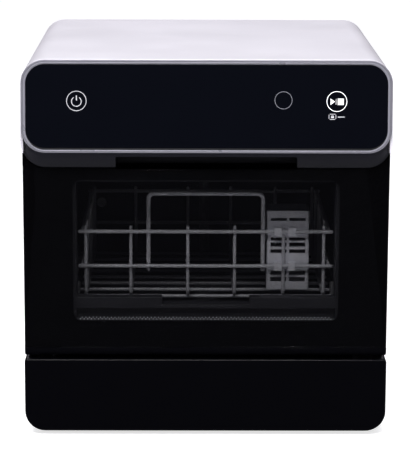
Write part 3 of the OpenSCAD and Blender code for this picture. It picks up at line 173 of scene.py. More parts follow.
def moulded(name, colour, grain_mm, depth_mm, roughness, shine=0.5, patch=0.06):
    """An injection-moulded material: the mould's grain as bump, and a tint and a roughness
    that wander over about 40 mm, as handling and moulding leave them. A spark-eroded grain
    is about 0.2 mm wide; it is drawn grain_mm wide, so that it shows. A polished mould has
    a grain_mm of several mm instead, for the faint waves that the cooling plastic keeps.
    Prints, solder mask and black-backed glass use it too, with next to no depth."""
    material, tree = new_material(name)
    place = add_node(tree, "TexCoord")
    wander = add_node(tree, "TexNoise", inputs={
        "Vector": place.outputs["Object"], "Scale": 1000.0 / WANDER_MM, "Detail": 3.0})
    rough = add_node(tree, "MapRange", inputs={
        "Value": wander.outputs["Fac"], "From Min": NOISE_LOW, "From Max": NOISE_HIGH,
        "To Min": roughness - patch / 2, "To Max": roughness + patch / 2})
    grain = add_node(tree, "TexNoise", inputs={
        "Vector": place.outputs["Object"], "Scale": 1000.0 / grain_mm, "Detail": 2.0})
    bump = add_node(tree, "Bump", inputs={
        "Height": grain.outputs["Fac"], "Strength": 0.5, "Distance": depth_mm / 1000})
    lighter = tuple(min(1.0, c * WANDER_LIGHTER) for c in linear(colour)[:3]) + (1.0,)
    tint = add_node(tree, "Mix", {"data_type": "RGBA"}, {
        MIX_SHARE: wander.outputs["Fac"], MIX_FIRST: linear(colour), MIX_SECOND: lighter})
    shade = add_node(tree, "BsdfPrincipled", inputs={
        "Base Color": tint.outputs[MIX_RESULT], "Roughness": rough.outputs["Result"],
        "Normal": bump.outputs["Normal"], "Specular IOR Level": shine, "IOR": PLASTIC_IOR})
    add_node(tree, "OutputMaterial", inputs={"Surface": shade.outputs["BSDF"]})
    return material


def eased_copy(node, finish, body, edge_mm=0.5, rounds=2, corner=32):
    """A merged copy of a CAD node whose edges of more than corner degrees are eased by a
    bevel of edge_mm, as a mould or a press leaves them. It takes the node's place."""
    merge_below, flat_below = 2e-6, math.radians(0.6)
    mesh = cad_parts[node].data.copy()
    mesh.name = node + "_made"
    if "custom_normal" in mesh.attributes:
        mesh.attributes.remove(mesh.attributes["custom_normal"])
    work = bmesh.new()
    work.from_mesh(mesh)
    bmesh.ops.remove_doubles(work, verts=work.verts, dist=merge_below)
    bmesh.ops.dissolve_limit(work, angle_limit=flat_below, verts=work.verts, edges=work.edges)
    work.to_mesh(mesh)
    work.free()
    mesh.materials.clear()
    mesh.materials.append(finish)
    mesh.polygons.foreach_set("use_smooth", np.ones(len(mesh.polygons), bool))
    mesh.set_sharp_from_angle(angle=math.radians(corner))
    made = bpy.data.objects.new(node + "_made", mesh)
    bpy.context.scene.collection.objects.link(made)
    if edge_mm:
        ease = made.modifiers.new("eased_edges", "BEVEL")
        ease.width, ease.segments = edge_mm / 1000, rounds
        ease.limit_method, ease.angle_limit = "ANGLE", math.radians(corner)
        ease.harden_normals = True
    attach(made, body)
    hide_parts(node)


rubber = moulded("moulded_rubber", "#161618", grain_mm=1.2, depth_mm=0.08, roughness=0.8,
                 shine=0.3)
eased_copy("feet", rubber, "cabinet", edge_mm=1.0, rounds=3)

# Base pan: a black polypropylene tray that carries the pumps, with drain slots, ribs and
# round lower edges. Its spark-eroded grain makes it dull.
grained_black = moulded("grained_polypropylene", "#121215", grain_mm=1.5, depth_mm=0.06,
                        roughness=0.55, shine=0.35)
eased_copy("base_pan", grained_black, "cabinet", edge_mm=0.8)

# Plinth: a front panel of gloss black ABS over the pumps, with round lower corners. Its
# polished mould leaves a deep black with a soft, slightly uneven mirror.
gloss_black = moulded("gloss_black_abs", "#030305", grain_mm=6.0, depth_mm=0.002,
                      roughness=0.18, shine=0.16, patch=0.05)
eased_copy("plinth_panel", gloss_black, "cabinet", edge_mm=1.0, rounds=3)


# Outer shell: one sheet of steel, folded over the top and both sides and enamelled white.
# The stoved enamel is half gloss, with a faint orange peel about 3 mm across.
def enamelled(name, colour):
    """White stoved enamel on steel: orange peel about 3 mm across as bump, and a gloss that
    wanders over about 80 mm. A noise's scale is its waves per metre."""
    peel_scale, wander_scale = 330.0, 12.0
    material, tree = new_material(name)
    place = add_node(tree, "TexCoord")
    peel = add_node(tree, "TexNoise", inputs={
        "Vector": place.outputs["Object"], "Scale": peel_scale, "Detail": 1.0})
    wander = add_node(tree, "TexNoise", inputs={
        "Vector": place.outputs["Object"], "Scale": wander_scale, "Detail": 3.0})
    rough = add_node(tree, "MapRange", inputs={
        "Value": wander.outputs["Fac"], "From Min": NOISE_LOW, "From Max": NOISE_HIGH,
        "To Min": 0.34, "To Max": 0.42})
    bump = add_node(tree, "Bump", inputs={
        "Height": peel.outputs["Fac"], "Strength": 0.25, "Distance": 0.00008})
    shade = add_node(tree, "BsdfPrincipled", inputs={
        "Base Color": linear(colour), "Roughness": rough.outputs["Result"],
        "Normal": bump.outputs["Normal"], "Coat Weight": 0.15, "Coat Roughness": 0.15})
    add_node(tree, "OutputMaterial", inputs={"Surface": shade.outputs["BSDF"]})
    return material


white_enamel = enamelled("white_enamel", "#CDCAD2")
eased_copy("outer_shell", white_enamel, "cabinet", edge_mm=0.9, rounds=3)
eased_copy("rear_panel", white_enamel, "cabinet", edge_mm=0.4)


# Fastenings and connections at the back: steel screws, the valve with its spigot, the drain
# spigot and the gland for the mains lead. The nylon is milky and half matt.
def brushed(name, colour, roughness, along=(1.0, 1.0, 1.0)):
    """Stainless steel with brush lines about 0.4 mm apart, drawn at 1.5 mm so that they show,
    and long along the axis whose share is small. The lines give a soft streak of light."""
    line_scale = 660.0
    material, tree = new_material(name)
    place = add_node(tree, "TexCoord")
    turn = add_node(tree, "Mapping", inputs={"Vector": place.outputs["Object"], "Scale": along})
    lines = add_node(tree, "TexNoise", inputs={
        "Vector": turn.outputs["Vector"], "Scale": line_scale, "Detail": 3.0})
    rough = add_node(tree, "MapRange", inputs={
        "Value": lines.outputs["Fac"], "From Min": 0.25, "From Max": 0.75,
        "To Min": roughness - 0.08, "To Max": roughness + 0.08})
    bump = add_node(tree, "Bump", inputs={
        "Height": lines.outputs["Fac"], "Strength": 0.2, "Distance": 0.00005})
    shade = add_node(tree, "BsdfPrincipled", inputs={
        "Base Color": linear(colour), "Metallic": 1.0, "Roughness": rough.outputs["Result"],
        "Normal": bump.outputs["Normal"]})
    add_node(tree, "OutputMaterial", inputs={"Surface": shade.outputs["BSDF"]})
    return material


stainless = brushed("brushed_stainless", "#C4C4C8", 0.32, along=(1.0, 0.05, 1.0))
off_white = moulded("off_white_nylon", "#D8D8D9", grain_mm=1.2, depth_mm=0.03, roughness=0.45)
eased_copy("cabinet_screws", stainless, "cabinet", edge_mm=0.6)
eased_copy("inlet_valve", off_white, "cabinet", edge_mm=0.6)
eased_copy("fill_tube", off_white, "cabinet", edge_mm=0)
eased_copy("drain_tube", grained_black, "cabinet", edge_mm=0.5)
eased_copy("drain_spigot", grained_black, "cabinet", edge_mm=0.6)
eased_copy("cord_gland", grained_black, "cabinet", edge_mm=0.6)

# Supply thread: the valve's spigot has a 3/4 inch pipe thread, 14 turns to the inch. The
# solid is its plain outer cylinder, and this ridge shows the turns on it.
SPIGOT_X, SPIGOT_Z, SPIGOT_R = -133, 68, 13.2
THREAD_START, THREAD_END, THREAD_PITCH, THREAD_RISE = 186, 201.5, 1.814, 0.5


def tube_faces(rings, sides):
    """Quads between neighbouring rings, and one flat face at each end."""
    r, s = np.meshgrid(np.arange(rings - 1), np.arange(sides), indexing="ij")
    next_s = (s + 1) % sides
    quads = np.stack((r * sides + s, r * sides + next_s, (r + 1) * sides + next_s,
                      (r + 1) * sides + s), -1).reshape(-1, 4)
    ends = [list(range(sides))[::-1], list(range((rings - 1) * sides, rings * sides))]
    return quads.tolist() + ends


def thread_ridge(axis_x, axis_z, y0, y1, radius, pitch, height):
    """A low ridge on a helix round the line x = axis_x, z = axis_z. At the angle t its middle
    is at y0 + pitch * t / (2 pi); four profile points stand at the radius or height over it,
    the outer two sunk by 0.2 so that no gap shows. A turn has 36 steps."""
    turn = np.linspace(0, 2 * math.pi * (y1 - y0) / pitch, int(36 * (y1 - y0) / pitch))
    along = pitch * np.array([-0.42, -0.12, 0.12, 0.42])
    reach = radius + np.array([-0.2, height, height, -0.2])
    points = np.stack((axis_x + reach * np.cos(turn)[:, None],
                       y0 + along + (pitch * turn / (2 * math.pi))[:, None],
                       axis_z + reach * np.sin(turn)[:, None]), -1)
    return points.reshape(-1, 3) / 1000, tube_faces(len(turn), len(along))


thread_points, thread_faces = thread_ridge(SPIGOT_X, SPIGOT_Z, THREAD_START, THREAD_END,
                                           SPIGOT_R, THREAD_PITCH, THREAD_RISE)
supply_thread = new_object("supply_thread", thread_points, thread_faces, off_white,
                           smooth_below=30)
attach(supply_thread, "cabinet")

# Screw recesses: the cross in the head of each of the eight screws in the back, pressed in
# when the head was made. Its shade is painted: a flat, nearly black cross of steel lies on the
# head, where little light would get out of the real recess.
CROSS_ARM, CROSS_HALF, CROSS_Y = 2.3, 0.45, 216.56
SCREW_PLACES = ((198, 45.3), (198, 222.65), (198, 400), (105, 428))
a, b = CROSS_ARM, CROSS_HALF
cross = np.array([(b, b), (a, b), (a, -b), (b, -b), (b, -a), (-b, -a), (-b, -b), (-a, -b),
                  (-a, b), (-b, b), (-b, a), (b, a)])
heads = np.array([(side * x, z) for side in (-1, 1) for x, z in SCREW_PLACES])
spots = heads[:, None] + cross
recess_points = np.stack((spots[..., 0], np.full(spots.shape[:2], CROSS_Y), spots[..., 1]), -1)
# painted shade: the crosses are flat, and their dark steel stands for the recess's shade
painted_shade_steel = brushed("steel_in_shadow", "#2E2E31", 0.5)
recess_painted_shade = new_object("screw_recess_painted_shade", recess_points.reshape(-1, 3) / 1000,
                      np.arange(len(heads) * len(cross)).reshape(len(heads), -1), painted_shade_steel)
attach(recess_painted_shade, "cabinet")

# Wash tub: one moulding of dark grey polypropylene with large inner corners, its flange, and
# the soft rubber bead that the door closes on. Its grain is fine, so it looks half matt.
tub_grey = moulded("tub_polypropylene", "#37373C", grain_mm=2.0, depth_mm=0.05,
                   roughness=0.42, shine=0.4)
eased_copy("tub", tub_grey, "cabinet", edge_mm=0.8)
eased_copy("tub_flange", tub_grey, "cabinet", edge_mm=0.4)
eased_copy("tub_gasket", rubber, "cabinet", edge_mm=1.6, rounds=3)

# Fittings in the tub: rack channels, catch, hinge brackets, filter, duct and spray arms, and
# below it the sump, the pumps and the boards. They are moulded in a half matt grey, and the
# boards have a smooth green film of solder mask.
mid_grey = moulded("mid_grey_polypropylene", "#6A6A71", grain_mm=1.6, depth_mm=0.05,
                   roughness=0.48, shine=0.4)
circuit_green = moulded("solder_mask", "#123A24", grain_mm=2.5, depth_mm=0.01, roughness=0.35)
eased_copy("rack_channels", mid_grey, "cabinet", edge_mm=0.6)
eased_copy("door_catch", grained_black, "cabinet", edge_mm=0.6)
eased_copy("hinge_brackets", stainless, "cabinet", edge_mm=0.4)
eased_copy("sump", mid_grey, "cabinet", edge_mm=0.6)
eased_copy("filter_plate", stainless, "cabinet", edge_mm=0)
eased_copy("arm_post", mid_grey, "cabinet", edge_mm=0.5)
eased_copy("spray_duct", mid_grey, "cabinet", edge_mm=0.8)
eased_copy("wash_pump", mid_grey, "cabinet", edge_mm=1.0)
eased_copy("drain_pump", grained_black, "cabinet", edge_mm=1.0)
eased_copy("power_board", circuit_green, "cabinet", edge_mm=0.4)
eased_copy("control_board", circuit_green, "cabinet", edge_mm=0.4)
eased_copy("touch_pads", rubber, "cabinet", edge_mm=0.5)
eased_copy("lower_spray_arm", mid_grey, "lower_arm", edge_mm=1.6, rounds=3)
eased_copy("upper_spray_arm", mid_grey, "upper_arm", edge_mm=1.6, rounds=3)
eased_copy("filter_cup", mid_grey, "filter", edge_mm=0.4)

# Dish rack: six long wires bent up at both ends, eight cross wires, level wires and a hoop,
# all of steel wire that is welded and dipped in grey nylon. The dip rounds the ends and
# thickens every crossing; it is smooth, with a soft shine and faint sags about 6 mm long.
nylon = moulded("nylon_dip", "#D2D2DA", grain_mm=6.0, depth_mm=0.06, roughness=0.36)
WIRE_R, LEVEL_R, HOOP_R, WIRE_BEND = 2.0, 2.2, 2.5, 6.0
RACK_FRONT, RACK_BACK, RACK_FLOOR = -135.0, 117.0, 154.0
MID_LEVEL, TOP_LEVEL, HOOP_LEVEL = 189.5, 230.8, 275.5
UPRIGHTS, UPRIGHT_TIP = (-141.0, -88.0, -21.0, 34.1, 91.5, 139.0), 2.5
CROSS_WIRES, CROSS_END, LEVEL_END = 8, 148, 147.8
WELD_SINK, CROSS_SHARE = 0.4, 0.85  # how far welded wires sink into each other
SIDE_X, SIDE_Y = 145.05, (-134, 0, 116)
POST_X, POST_Z, POST_CROSSINGS = 141.45, (154, 200, TOP_LEVEL + 4), [1, 3, 4, 6]
HOOP_X, HOOP_Y, HOOP_BEND, HOOP_TAIL = 67.25, -134.08, 7.0, 5
FLOOR_BEAD, FLOOR_BEAD_DOWN = (2.3, 2.3, 1.5), 1.6
FENCE_BEAD, FENCE_BEAD_OUT = (2.5, 1.5, 2.5), 1.9


def wire(path, radius, plane, sides=14, cap_rings=4, tip=0.06):
    """A round wire along path, an array of points in mm that lie in one plane. Each ring is the
    point plus radius times (cos a * plane's normal + sin a * the cross of tangent and normal).
    Its ends are half balls: rings that shrink by cos b, down to the share tip, while they
    move out by sin b."""
    path = np.asarray(path, float)
    run = np.gradient(path, axis=0)
    run /= np.linalg.norm(run, axis=1)[:, None]
    swell = np.linspace(0, 0.5 * math.pi, cap_rings + 1)[1:]
    shrink = np.maximum(np.cos(swell), tip)
    centres = np.concatenate((path[0] - radius * np.sin(swell[::-1])[:, None] * run[0], path,
                              path[-1] + radius * np.sin(swell)[:, None] * run[-1]))
    runs = np.concatenate((np.repeat(run[:1], cap_rings, 0), run,
                           np.repeat(run[-1:], cap_rings, 0)))
    sizes = radius * np.concatenate((shrink[::-1], np.ones(len(path)), shrink))
    normal = np.asarray(plane, float)
    across = np.cross(runs, normal)
    turn = np.linspace(0, 2 * math.pi, sides, endpoint=False)
    points = (centres[:, None] + sizes[:, None, None] * (
        np.cos(turn)[None, :, None] * normal + np.sin(turn)[None, :, None] * across[:, None]))
    return points.reshape(-1, 3), tube_faces(len(centres), sides)


def bead(centre, size, rings=7, sides=10, pole=0.06):
    """A stretched ball with the three half lengths in size: centre plus size times (sin d cos a,
    sin d sin a, -cos d). d stops short of both poles by the angle pole."""
    down, turn = np.meshgrid(np.linspace(pole, math.pi - pole, rings),
                             np.linspace(0, 2 * math.pi, sides, endpoint=False), indexing="ij")
    ball = np.stack((np.sin(down) * np.cos(turn), np.sin(down) * np.sin(turn), -np.cos(down)), -1)
    return np.asarray(centre) + ball.reshape(-1, 3) * np.asarray(size), tube_faces(rings, sides)


def quarter(centre, radius, start, steps=9):
    """Points of a quarter circle in two dimensions from the angle start, in degrees."""
    turn = np.radians(np.linspace(start, start + 90, steps))
    return np.stack((centre[0] + radius * np.cos(turn), centre[1] + radius * np.sin(turn)), -1)


def joined(parts):
    """One array of points and one list of faces from several pairs of them."""
    points, faces, base = [], [], 0
    for some_points, some_faces in parts:
        points.append(some_points)
        faces += [[corner + base for corner in face] for face in some_faces]
        base += len(some_points)
    return np.concatenate(points), faces


# the long wires' path, as y and z, from the front tips under the rack to the back tips
upright_top = TOP_LEVEL + LEVEL_R + UPRIGHT_TIP
long_path = np.concatenate((
    [(RACK_FRONT, z) for z in (upright_top, TOP_LEVEL, MID_LEVEL)],
    quarter((RACK_FRONT + WIRE_BEND, RACK_FLOOR + WIRE_BEND), WIRE_BEND, 180),
    quarter((RACK_BACK - WIRE_BEND, RACK_FLOOR + WIRE_BEND), WIRE_BEND, 270),
    [(RACK_BACK, z) for z in (MID_LEVEL, TOP_LEVEL, upright_top)]))
cross_y = np.linspace(RACK_FRONT + WIRE_BEND + WIRE_R, RACK_BACK - WIRE_BEND - WIRE_R,
                      CROSS_WIRES)
cross_z = RACK_FLOOR - CROSS_SHARE * 2 * WIRE_R
level_gap = WIRE_R + LEVEL_R - WELD_SINK
rack_parts = []
for x in UPRIGHTS:
    rack_parts.append(wire(np.column_stack((np.full(len(long_path), x), long_path)), WIRE_R,
                           plane=(1, 0, 0)))
    rack_parts += [bead((x, y, RACK_FLOOR - FLOOR_BEAD_DOWN), FLOOR_BEAD) for y in cross_y]
    for y in (RACK_FRONT - FENCE_BEAD_OUT, RACK_BACK + FENCE_BEAD_OUT):
        rack_parts += [bead((x, y, z), FENCE_BEAD) for z in (MID_LEVEL, TOP_LEVEL)]
for y in cross_y:
    rack_parts.append(wire([(x, y, cross_z) for x in (-CROSS_END, 0, CROSS_END)], WIRE_R,
                           plane=(0, 1, 0)))
for y in (RACK_FRONT - level_gap, RACK_BACK + level_gap):
    for z in (MID_LEVEL, TOP_LEVEL):
        rack_parts.append(wire([(x, y, z) for x in (-LEVEL_END, 0, LEVEL_END)], LEVEL_R,
                               plane=(0, 1, 0)))
for side in (-1, 1):
    for z in (MID_LEVEL, TOP_LEVEL):
        rack_parts.append(wire([(side * SIDE_X, y, z) for y in SIDE_Y], WIRE_R,
                               plane=(1, 0, 0)))
    for y in cross_y[POST_CROSSINGS]:
        rack_parts.append(wire([(side * POST_X, y, z) for z in POST_Z], WIRE_R,
                               plane=(1, 0, 0)))
# the hoop's path, as x and z, from one tail over the top to the other
hoop_path = np.concatenate((
    [(-HOOP_X, MID_LEVEL - HOOP_TAIL), (-HOOP_X, TOP_LEVEL)],
    quarter((-HOOP_X + HOOP_BEND, HOOP_LEVEL - HOOP_BEND), HOOP_BEND, 90)[::-1],
    quarter((HOOP_X - HOOP_BEND, HOOP_LEVEL - HOOP_BEND), HOOP_BEND, 0)[::-1],
    [(HOOP_X, TOP_LEVEL), (HOOP_X, MID_LEVEL - HOOP_TAIL)]))
rack_parts.append(wire(np.column_stack((hoop_path[:, 0], np.full(len(hoop_path), HOOP_Y),
                                        hoop_path[:, 1])), HOOP_R, plane=(0, 1, 0)))
rack_points, rack_faces = joined(rack_parts)
rack_wires = new_object("rack_wires", rack_points / 1000, rack_faces, nylon, smooth_below=50)
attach(rack_wires, "rack")
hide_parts("rack_floor", "rack_front_fence", "rack_back_fence",
            "rack_side_fences", "rack_handle")

# Rack glides: four moulded acetal blocks, pressed on the ends of two cross wires, that run
# in the tub's channels. Acetal is pale and waxy, with a soft shine.
acetal = moulded("acetal", "#B9B9BE", grain_mm=1.5, depth_mm=0.02, roughness=0.4)
eased_copy("rack_glides", acetal, "rack", edge_mm=0.8)

# Cutlery basket: grey polypropylene with slotted walls, hung by four hooks over the fence.
# Its front wall is pale and half matt. Behind that wall its colour is darkened as painted
# shade, for the tub's shade, so the slots and the back walls show dark.
PALE_TO_Y, PAINTED_SHADE_FROM_Y = -0.1305, -0.1285
basket_grey = moulded("basket_polypropylene", "#F0F0FA", grain_mm=1.6, depth_mm=0.04,
                      roughness=0.45, shine=0.4)
basket_tree = basket_grey.node_tree
basket_shade = next(node for node in basket_tree.nodes if node.type == "BSDF_PRINCIPLED")
basket_place = next(node for node in basket_tree.nodes if node.type == "TEX_COORD")
basket_axes = add_node(basket_tree, "SeparateXYZ", inputs={
    "Vector": basket_place.outputs["Object"]})
# painted shade: the colour turns dark grey just behind the front wall
basket_painted_shade_share = add_node(basket_tree, "MapRange", inputs={
    "Value": basket_axes.outputs["Y"], "From Min": PALE_TO_Y, "From Max": PAINTED_SHADE_FROM_Y})
basket_painted_shade = add_node(basket_tree, "Mix", {"data_type": "RGBA"}, {
    MIX_SHARE: basket_painted_shade_share.outputs["Result"], MIX_FIRST: linear("#F0F0FA"),
    MIX_SECOND: linear("#7C7C86")})
basket_tree.links.new(basket_painted_shade.outputs[MIX_RESULT], basket_shade.inputs["Base Color"])
eased_copy("cutlery_basket", basket_grey, "basket", edge_mm=0.4)

# Door carrier and its inner parts: gloss black sides, a dark half matt rim round the window,
# and a grey liner that screws hold, with the pale matt dispenser low in it.
rim_grey = moulded("rim_polypropylene", "#26262B", grain_mm=1.5, depth_mm=0.04,
                   roughness=0.45, shine=0.4)
dose_grey = moulded("dispenser_grey", "#B4B4BA", grain_mm=1.2, depth_mm=0.03, roughness=0.4)
eased_copy("door_frame", gloss_black, "door", edge_mm=0.5)
eased_copy("window_rim", rim_grey, "door", edge_mm=0.6)
eased_copy("door_liner", tub_grey, "door", edge_mm=0.6)
eased_copy("door_hook", grained_black, "door", edge_mm=0.5)
eased_copy("liner_screws", stainless, "door", edge_mm=0.3)
eased_copy("detergent_cup", dose_grey, "door", edge_mm=0.4)
eased_copy("detergent_lid", mid_grey, "dose_lid", edge_mm=0.4)


# Door glass: 4 mm of tempered glass with ground edges, matt black print behind it and a clear
# window. It shows as a dark, even sheet that mirrors only faintly, and the thin pane inside
# the window is clearer.
def clear_sheet(name, colour, cover, roughness):
    """Tinted glass: cover is the share of light that it keeps back, and smears about 110 mm
    long raise its roughness slightly."""
    smear_scale = 9.0
    material, tree = new_material(name)
    place = add_node(tree, "TexCoord")
    smear = add_node(tree, "TexNoise", inputs={
        "Vector": place.outputs["Object"], "Scale": smear_scale, "Detail": 4.0})
    rough = add_node(tree, "MapRange", inputs={
        "Value": smear.outputs["Fac"], "From Min": NOISE_LOW, "From Max": NOISE_HIGH,
        "To Min": roughness, "To Max": roughness + 0.03})
    shade = add_node(tree, "BsdfPrincipled", inputs={
        "Base Color": linear(colour), "Alpha": cover, "Roughness": rough.outputs["Result"],
        "Specular IOR Level": 0.5})
    add_node(tree, "OutputMaterial", inputs={"Surface": shade.outputs["BSDF"]})
    return material


door_pane = clear_sheet("door_glass", "#040406", cover=0.35, roughness=0.02)
inner_glass = clear_sheet("inner_glass", "#0A0A0D", cover=0.12, roughness=0.02)
black_print = moulded("black_print", "#040406", grain_mm=4.0, depth_mm=0.001, roughness=0.5,
                      shine=0.1)
eased_copy("door_glass", door_pane, "door", edge_mm=0.5)
eased_copy("glass_mask", black_print, "door", edge_mm=0)
eased_copy("inner_pane", inner_glass, "door", edge_mm=0)


# Frit dots: two rows of ceramic dots, printed and fired on the back of the door glass along
# the window's foot. They are matt and pale grey. The real dots are about half as far apart;
# at that size they would blur into a line.
def frit_dots(radii, pitch, half, low, rise, back_y):
    """Flat six-sided dots: row r at the height low + rise * r, with the radius radii[r], and
    every other row shifted by half a pitch. A dot is six points on a circle round its place."""
    six = np.radians(np.arange(6) * 60.0)
    points = []
    for row, radius in enumerate(radii):
        x = np.arange(-half + 0.5 * pitch * (row % 2), half, pitch)
        points.append(np.stack((x[:, None] + radius * np.cos(six),
                                np.full((len(x), 6), back_y),
                                low + rise * row + radius * np.sin(six) + 0 * x[:, None]),
                               -1).reshape(-1, 3))
    points = np.concatenate(points) / 1000
    return points, np.arange(len(points)).reshape(-1, 6)


frit_grey = moulded("frit_grey", "#E6E6EE", grain_mm=1.0, depth_mm=0.005, roughness=0.6)
frit_points, frit_faces = frit_dots(radii=(0.7, 0.65), pitch=4.2, half=145.0, low=138.6,
                                    rise=2.1, back_y=-192.9)
frit = new_object("frit_dots", frit_points, frit_faces, frit_grey)
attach(frit, "door")

# Panel housing: a fixed moulding of black ABS with the coved chin and the grip pocket that
# the door's top edge is pulled by. Its satin black is a little lighter than the door.
satin_black = moulded("satin_black_abs", "#1A1A20", grain_mm=3.0, depth_mm=0.01,
                      roughness=0.42, shine=0.3)
eased_copy("panel_housing", satin_black, "cabinet", edge_mm=0.4, corner=24)

# Bezel: a zinc ring, plated in satin silver, round the leaning glass. Its section has a
# fine groove in a flat band and a bead inside it, which gets a lighter copy of the plating
# as a painted highlight, and it is wider at the top.
PANEL_HALF, PANEL_LEN, PANEL_LEAN = 210.0, 105.578, math.radians(6)
PANEL_FOOT_Y, PANEL_FOOT_Z, BEZEL_CORNER = -217.625, 337.0, 27.0
RING_DROP, DROP_PER_INSET, NARROW_PER_INSET, RING_STRETCH = 0.25, 0.17, 0.16, 0.7
BEZEL_SECTION = [(0.9, -4.0), (0.9, -0.8), (1.0, -0.45), (1.3, -0.25), (2.3, -0.3),
                 (2.45, -0.75), (2.7, -0.75), (2.8, -0.35), (3.1, -0.08), (3.5, 0.0),
                 (3.9, -0.08), (4.3, -0.4), (4.7, -1.0), (4.85, -1.4), (4.85, -4.0)]
PAINTED_HIGHLIGHT_ROWS = range(7, 13)


def on_panel(x, up, out):
    """Points in metres from the leaning panel's own x, its way up and its way out, in mm: up
    runs along (0, sin lean, cos lean) and out along (0, -cos lean, sin lean)."""
    x, up, out = np.broadcast_arrays(x, up, out)
    return np.stack((x, PANEL_FOOT_Y + up * math.sin(PANEL_LEAN) - out * math.cos(PANEL_LEAN),
                     PANEL_FOOT_Z + up * math.cos(PANEL_LEAN) + out * math.sin(PANEL_LEAN)),
                    -1) / 1000


def panel_loop(inset, per_corner=18):
    """The panel's outline, drawn in by inset: four quarter circles of the corner radius less
    inset, each from its own centre. Returns x and up for every point."""
    turn = np.radians(np.arange(4)[:, None] * 90 + np.linspace(0, 90, per_corner)[None])
    wide, tall = PANEL_HALF - BEZEL_CORNER, PANEL_LEN / 2 - BEZEL_CORNER
    sign_x, sign_up = np.array([1, -1, -1, 1]), np.array([1, 1, -1, -1])
    reach = BEZEL_CORNER - np.asarray(inset)[..., None, None]
    x = sign_x[:, None] * wide + reach * np.cos(turn)
    up = PANEL_LEN / 2 + sign_up[:, None] * tall + reach * np.sin(turn)
    return x.reshape(*np.shape(inset), -1), up.reshape(*np.shape(inset), -1)


def loop_faces(rows, columns):
    """Quads on a grid of a section's rows, from the outline inwards, and a loop's columns.
    Both close on themselves."""
    r, c = np.meshgrid(np.arange(rows), np.arange(columns), indexing="ij")
    next_r, next_c = (r + 1) % rows, (c + 1) % columns
    return np.stack((r * columns + c, r * columns + next_c, next_r * columns + next_c,
                     next_r * columns + c), -1).reshape(-1, 4).tolist()


def ring_points(section):
    """A section of rows (inset, out) carried round the panel's outline. The ring's opening sits
    a little low and narrow in its outline: a row's loop is let down by 0.25 + 0.17 inset,
    drawn in at both sides by 0.16 inset, and stretched upwards by 0.7 in all."""
    inset, out = np.array(section).T[:, :, None]
    x, up = panel_loop(inset[:, 0])
    return on_panel(x * (1 - NARROW_PER_INSET * inset / PANEL_HALF),
                    up * (1 + RING_STRETCH / PANEL_LEN) - RING_DROP - DROP_PER_INSET * inset,
                    out)


def plated(name, colour, roughness):
    """Satin plating under clear lacquer: a metal base that still scatters some light, with
    cloudy roughness about 30 mm across and no grain."""
    cloud_scale = 30.0
    material, tree = new_material(name)
    place = add_node(tree, "TexCoord")
    cloud = add_node(tree, "TexNoise", inputs={
        "Vector": place.outputs["Object"], "Scale": cloud_scale, "Detail": 2.0})
    rough = add_node(tree, "MapRange", inputs={
        "Value": cloud.outputs["Fac"], "From Min": NOISE_LOW, "From Max": NOISE_HIGH,
        "To Min": roughness - 0.03, "To Max": roughness + 0.03})
    shade = add_node(tree, "BsdfPrincipled", inputs={
        "Base Color": linear(colour), "Metallic": 0.6, "Roughness": rough.outputs["Result"]})
    add_node(tree, "OutputMaterial", inputs={"Surface": shade.outputs["BSDF"]})
    return material


satin_silver = plated("satin_silver", "#8C8B95", 0.38)
# painted highlight: a lighter copy of the plating for the bead's rows
painted_highlight_silver = plated("painted_highlight_silver", "#A3A2AD", 0.3)
ring = ring_points(BEZEL_SECTION)
bezel = new_object("bezel_ring", ring.reshape(-1, 3), loop_faces(*ring.shape[:2]),
                   satin_silver, smooth_below=24)
bezel.data.materials.append(painted_highlight_silver)
painted_highlight_rows = np.isin(np.arange(len(BEZEL_SECTION)), PAINTED_HIGHLIGHT_ROWS).astype(int)
bezel.data.polygons.foreach_set("material_index", np.repeat(painted_highlight_rows, ring.shape[1]))
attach(bezel, "cabinet")
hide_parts("panel_bezel")

# Sealing bead: a thin black bead of silicone rubber, pressed into the gap between the ring
# and the glass. It is dull and shows as a fine dark line.
BEAD_AT_RING, BEAD_AT_GLASS, BEAD_DEEP = (4.8, -1.45), (5.7, -1.4), 1.0
ring_edge = ring_points([BEAD_AT_RING])
glass_edge = on_panel(*panel_loop(np.array(BEAD_AT_GLASS[:1])), BEAD_AT_GLASS[1])
deeper = on_panel(0, 0, -BEAD_DEEP) - on_panel(0, 0, 0)
bead_points = np.concatenate((ring_edge + deeper, ring_edge, glass_edge, glass_edge + deeper))
seal_bead = new_object("seal_bead", bead_points.reshape(-1, 3),
                       loop_faces(*bead_points.shape[:2]), rubber, smooth_below=30)
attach(seal_bead, "cabinet")

# Hood lip: the front edge of the white steel hood, folded in round the ring. It runs from one
# side over the top to the other and ends 8 mm above the panel's foot.
LIP_SECTION = np.array([(0.0, -4.0), (0.0, -0.4), (0.08, -0.1), (0.2, 0.0), (0.4, 0.0),
                        (0.5, -0.15), (0.5, -4.0)])
LIP_FOOT = 8.0
lip_inset, lip_out = LIP_SECTION.T
lip_foot = np.full(len(LIP_SECTION), LIP_FOOT)
lip_x, lip_up = panel_loop(lip_inset)
top_half = lip_x.shape[1] // 2
lip_x = np.column_stack((PANEL_HALF - lip_inset, lip_x[:, :top_half], lip_inset - PANEL_HALF))
lip_up = np.column_stack((lip_foot, lip_up[:, :top_half], lip_foot))
lip = on_panel(lip_x, lip_up, lip_out[:, None])
rows, columns = lip.shape[:2]
lip_walls = [face for face in loop_faces(rows, columns)
             if {face[0] % columns, face[2] % columns} != {0, columns - 1}]
lip_ends = [[row * columns for row in range(rows)],
            [row * columns - 1 for row in range(rows, 0, -1)]]
hood_lip = new_object("hood_lip", lip.reshape(-1, 3), lip_walls + lip_ends, white_enamel,
                      smooth_below=30)
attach(hood_lip, "cabinet")

# Control glass: 2.6 mm of glass with a black back and a ground edge, laid in the housing
# behind the ring. It is a deep, even black with a faint, clear mirror.
panel_glass = moulded("control_glass", "#05060B", grain_mm=8.0, depth_mm=0.001, roughness=0.1,
                      shine=0.16, patch=0.03)
eased_copy("control_glass", panel_glass, "cabinet", edge_mm=0.5)

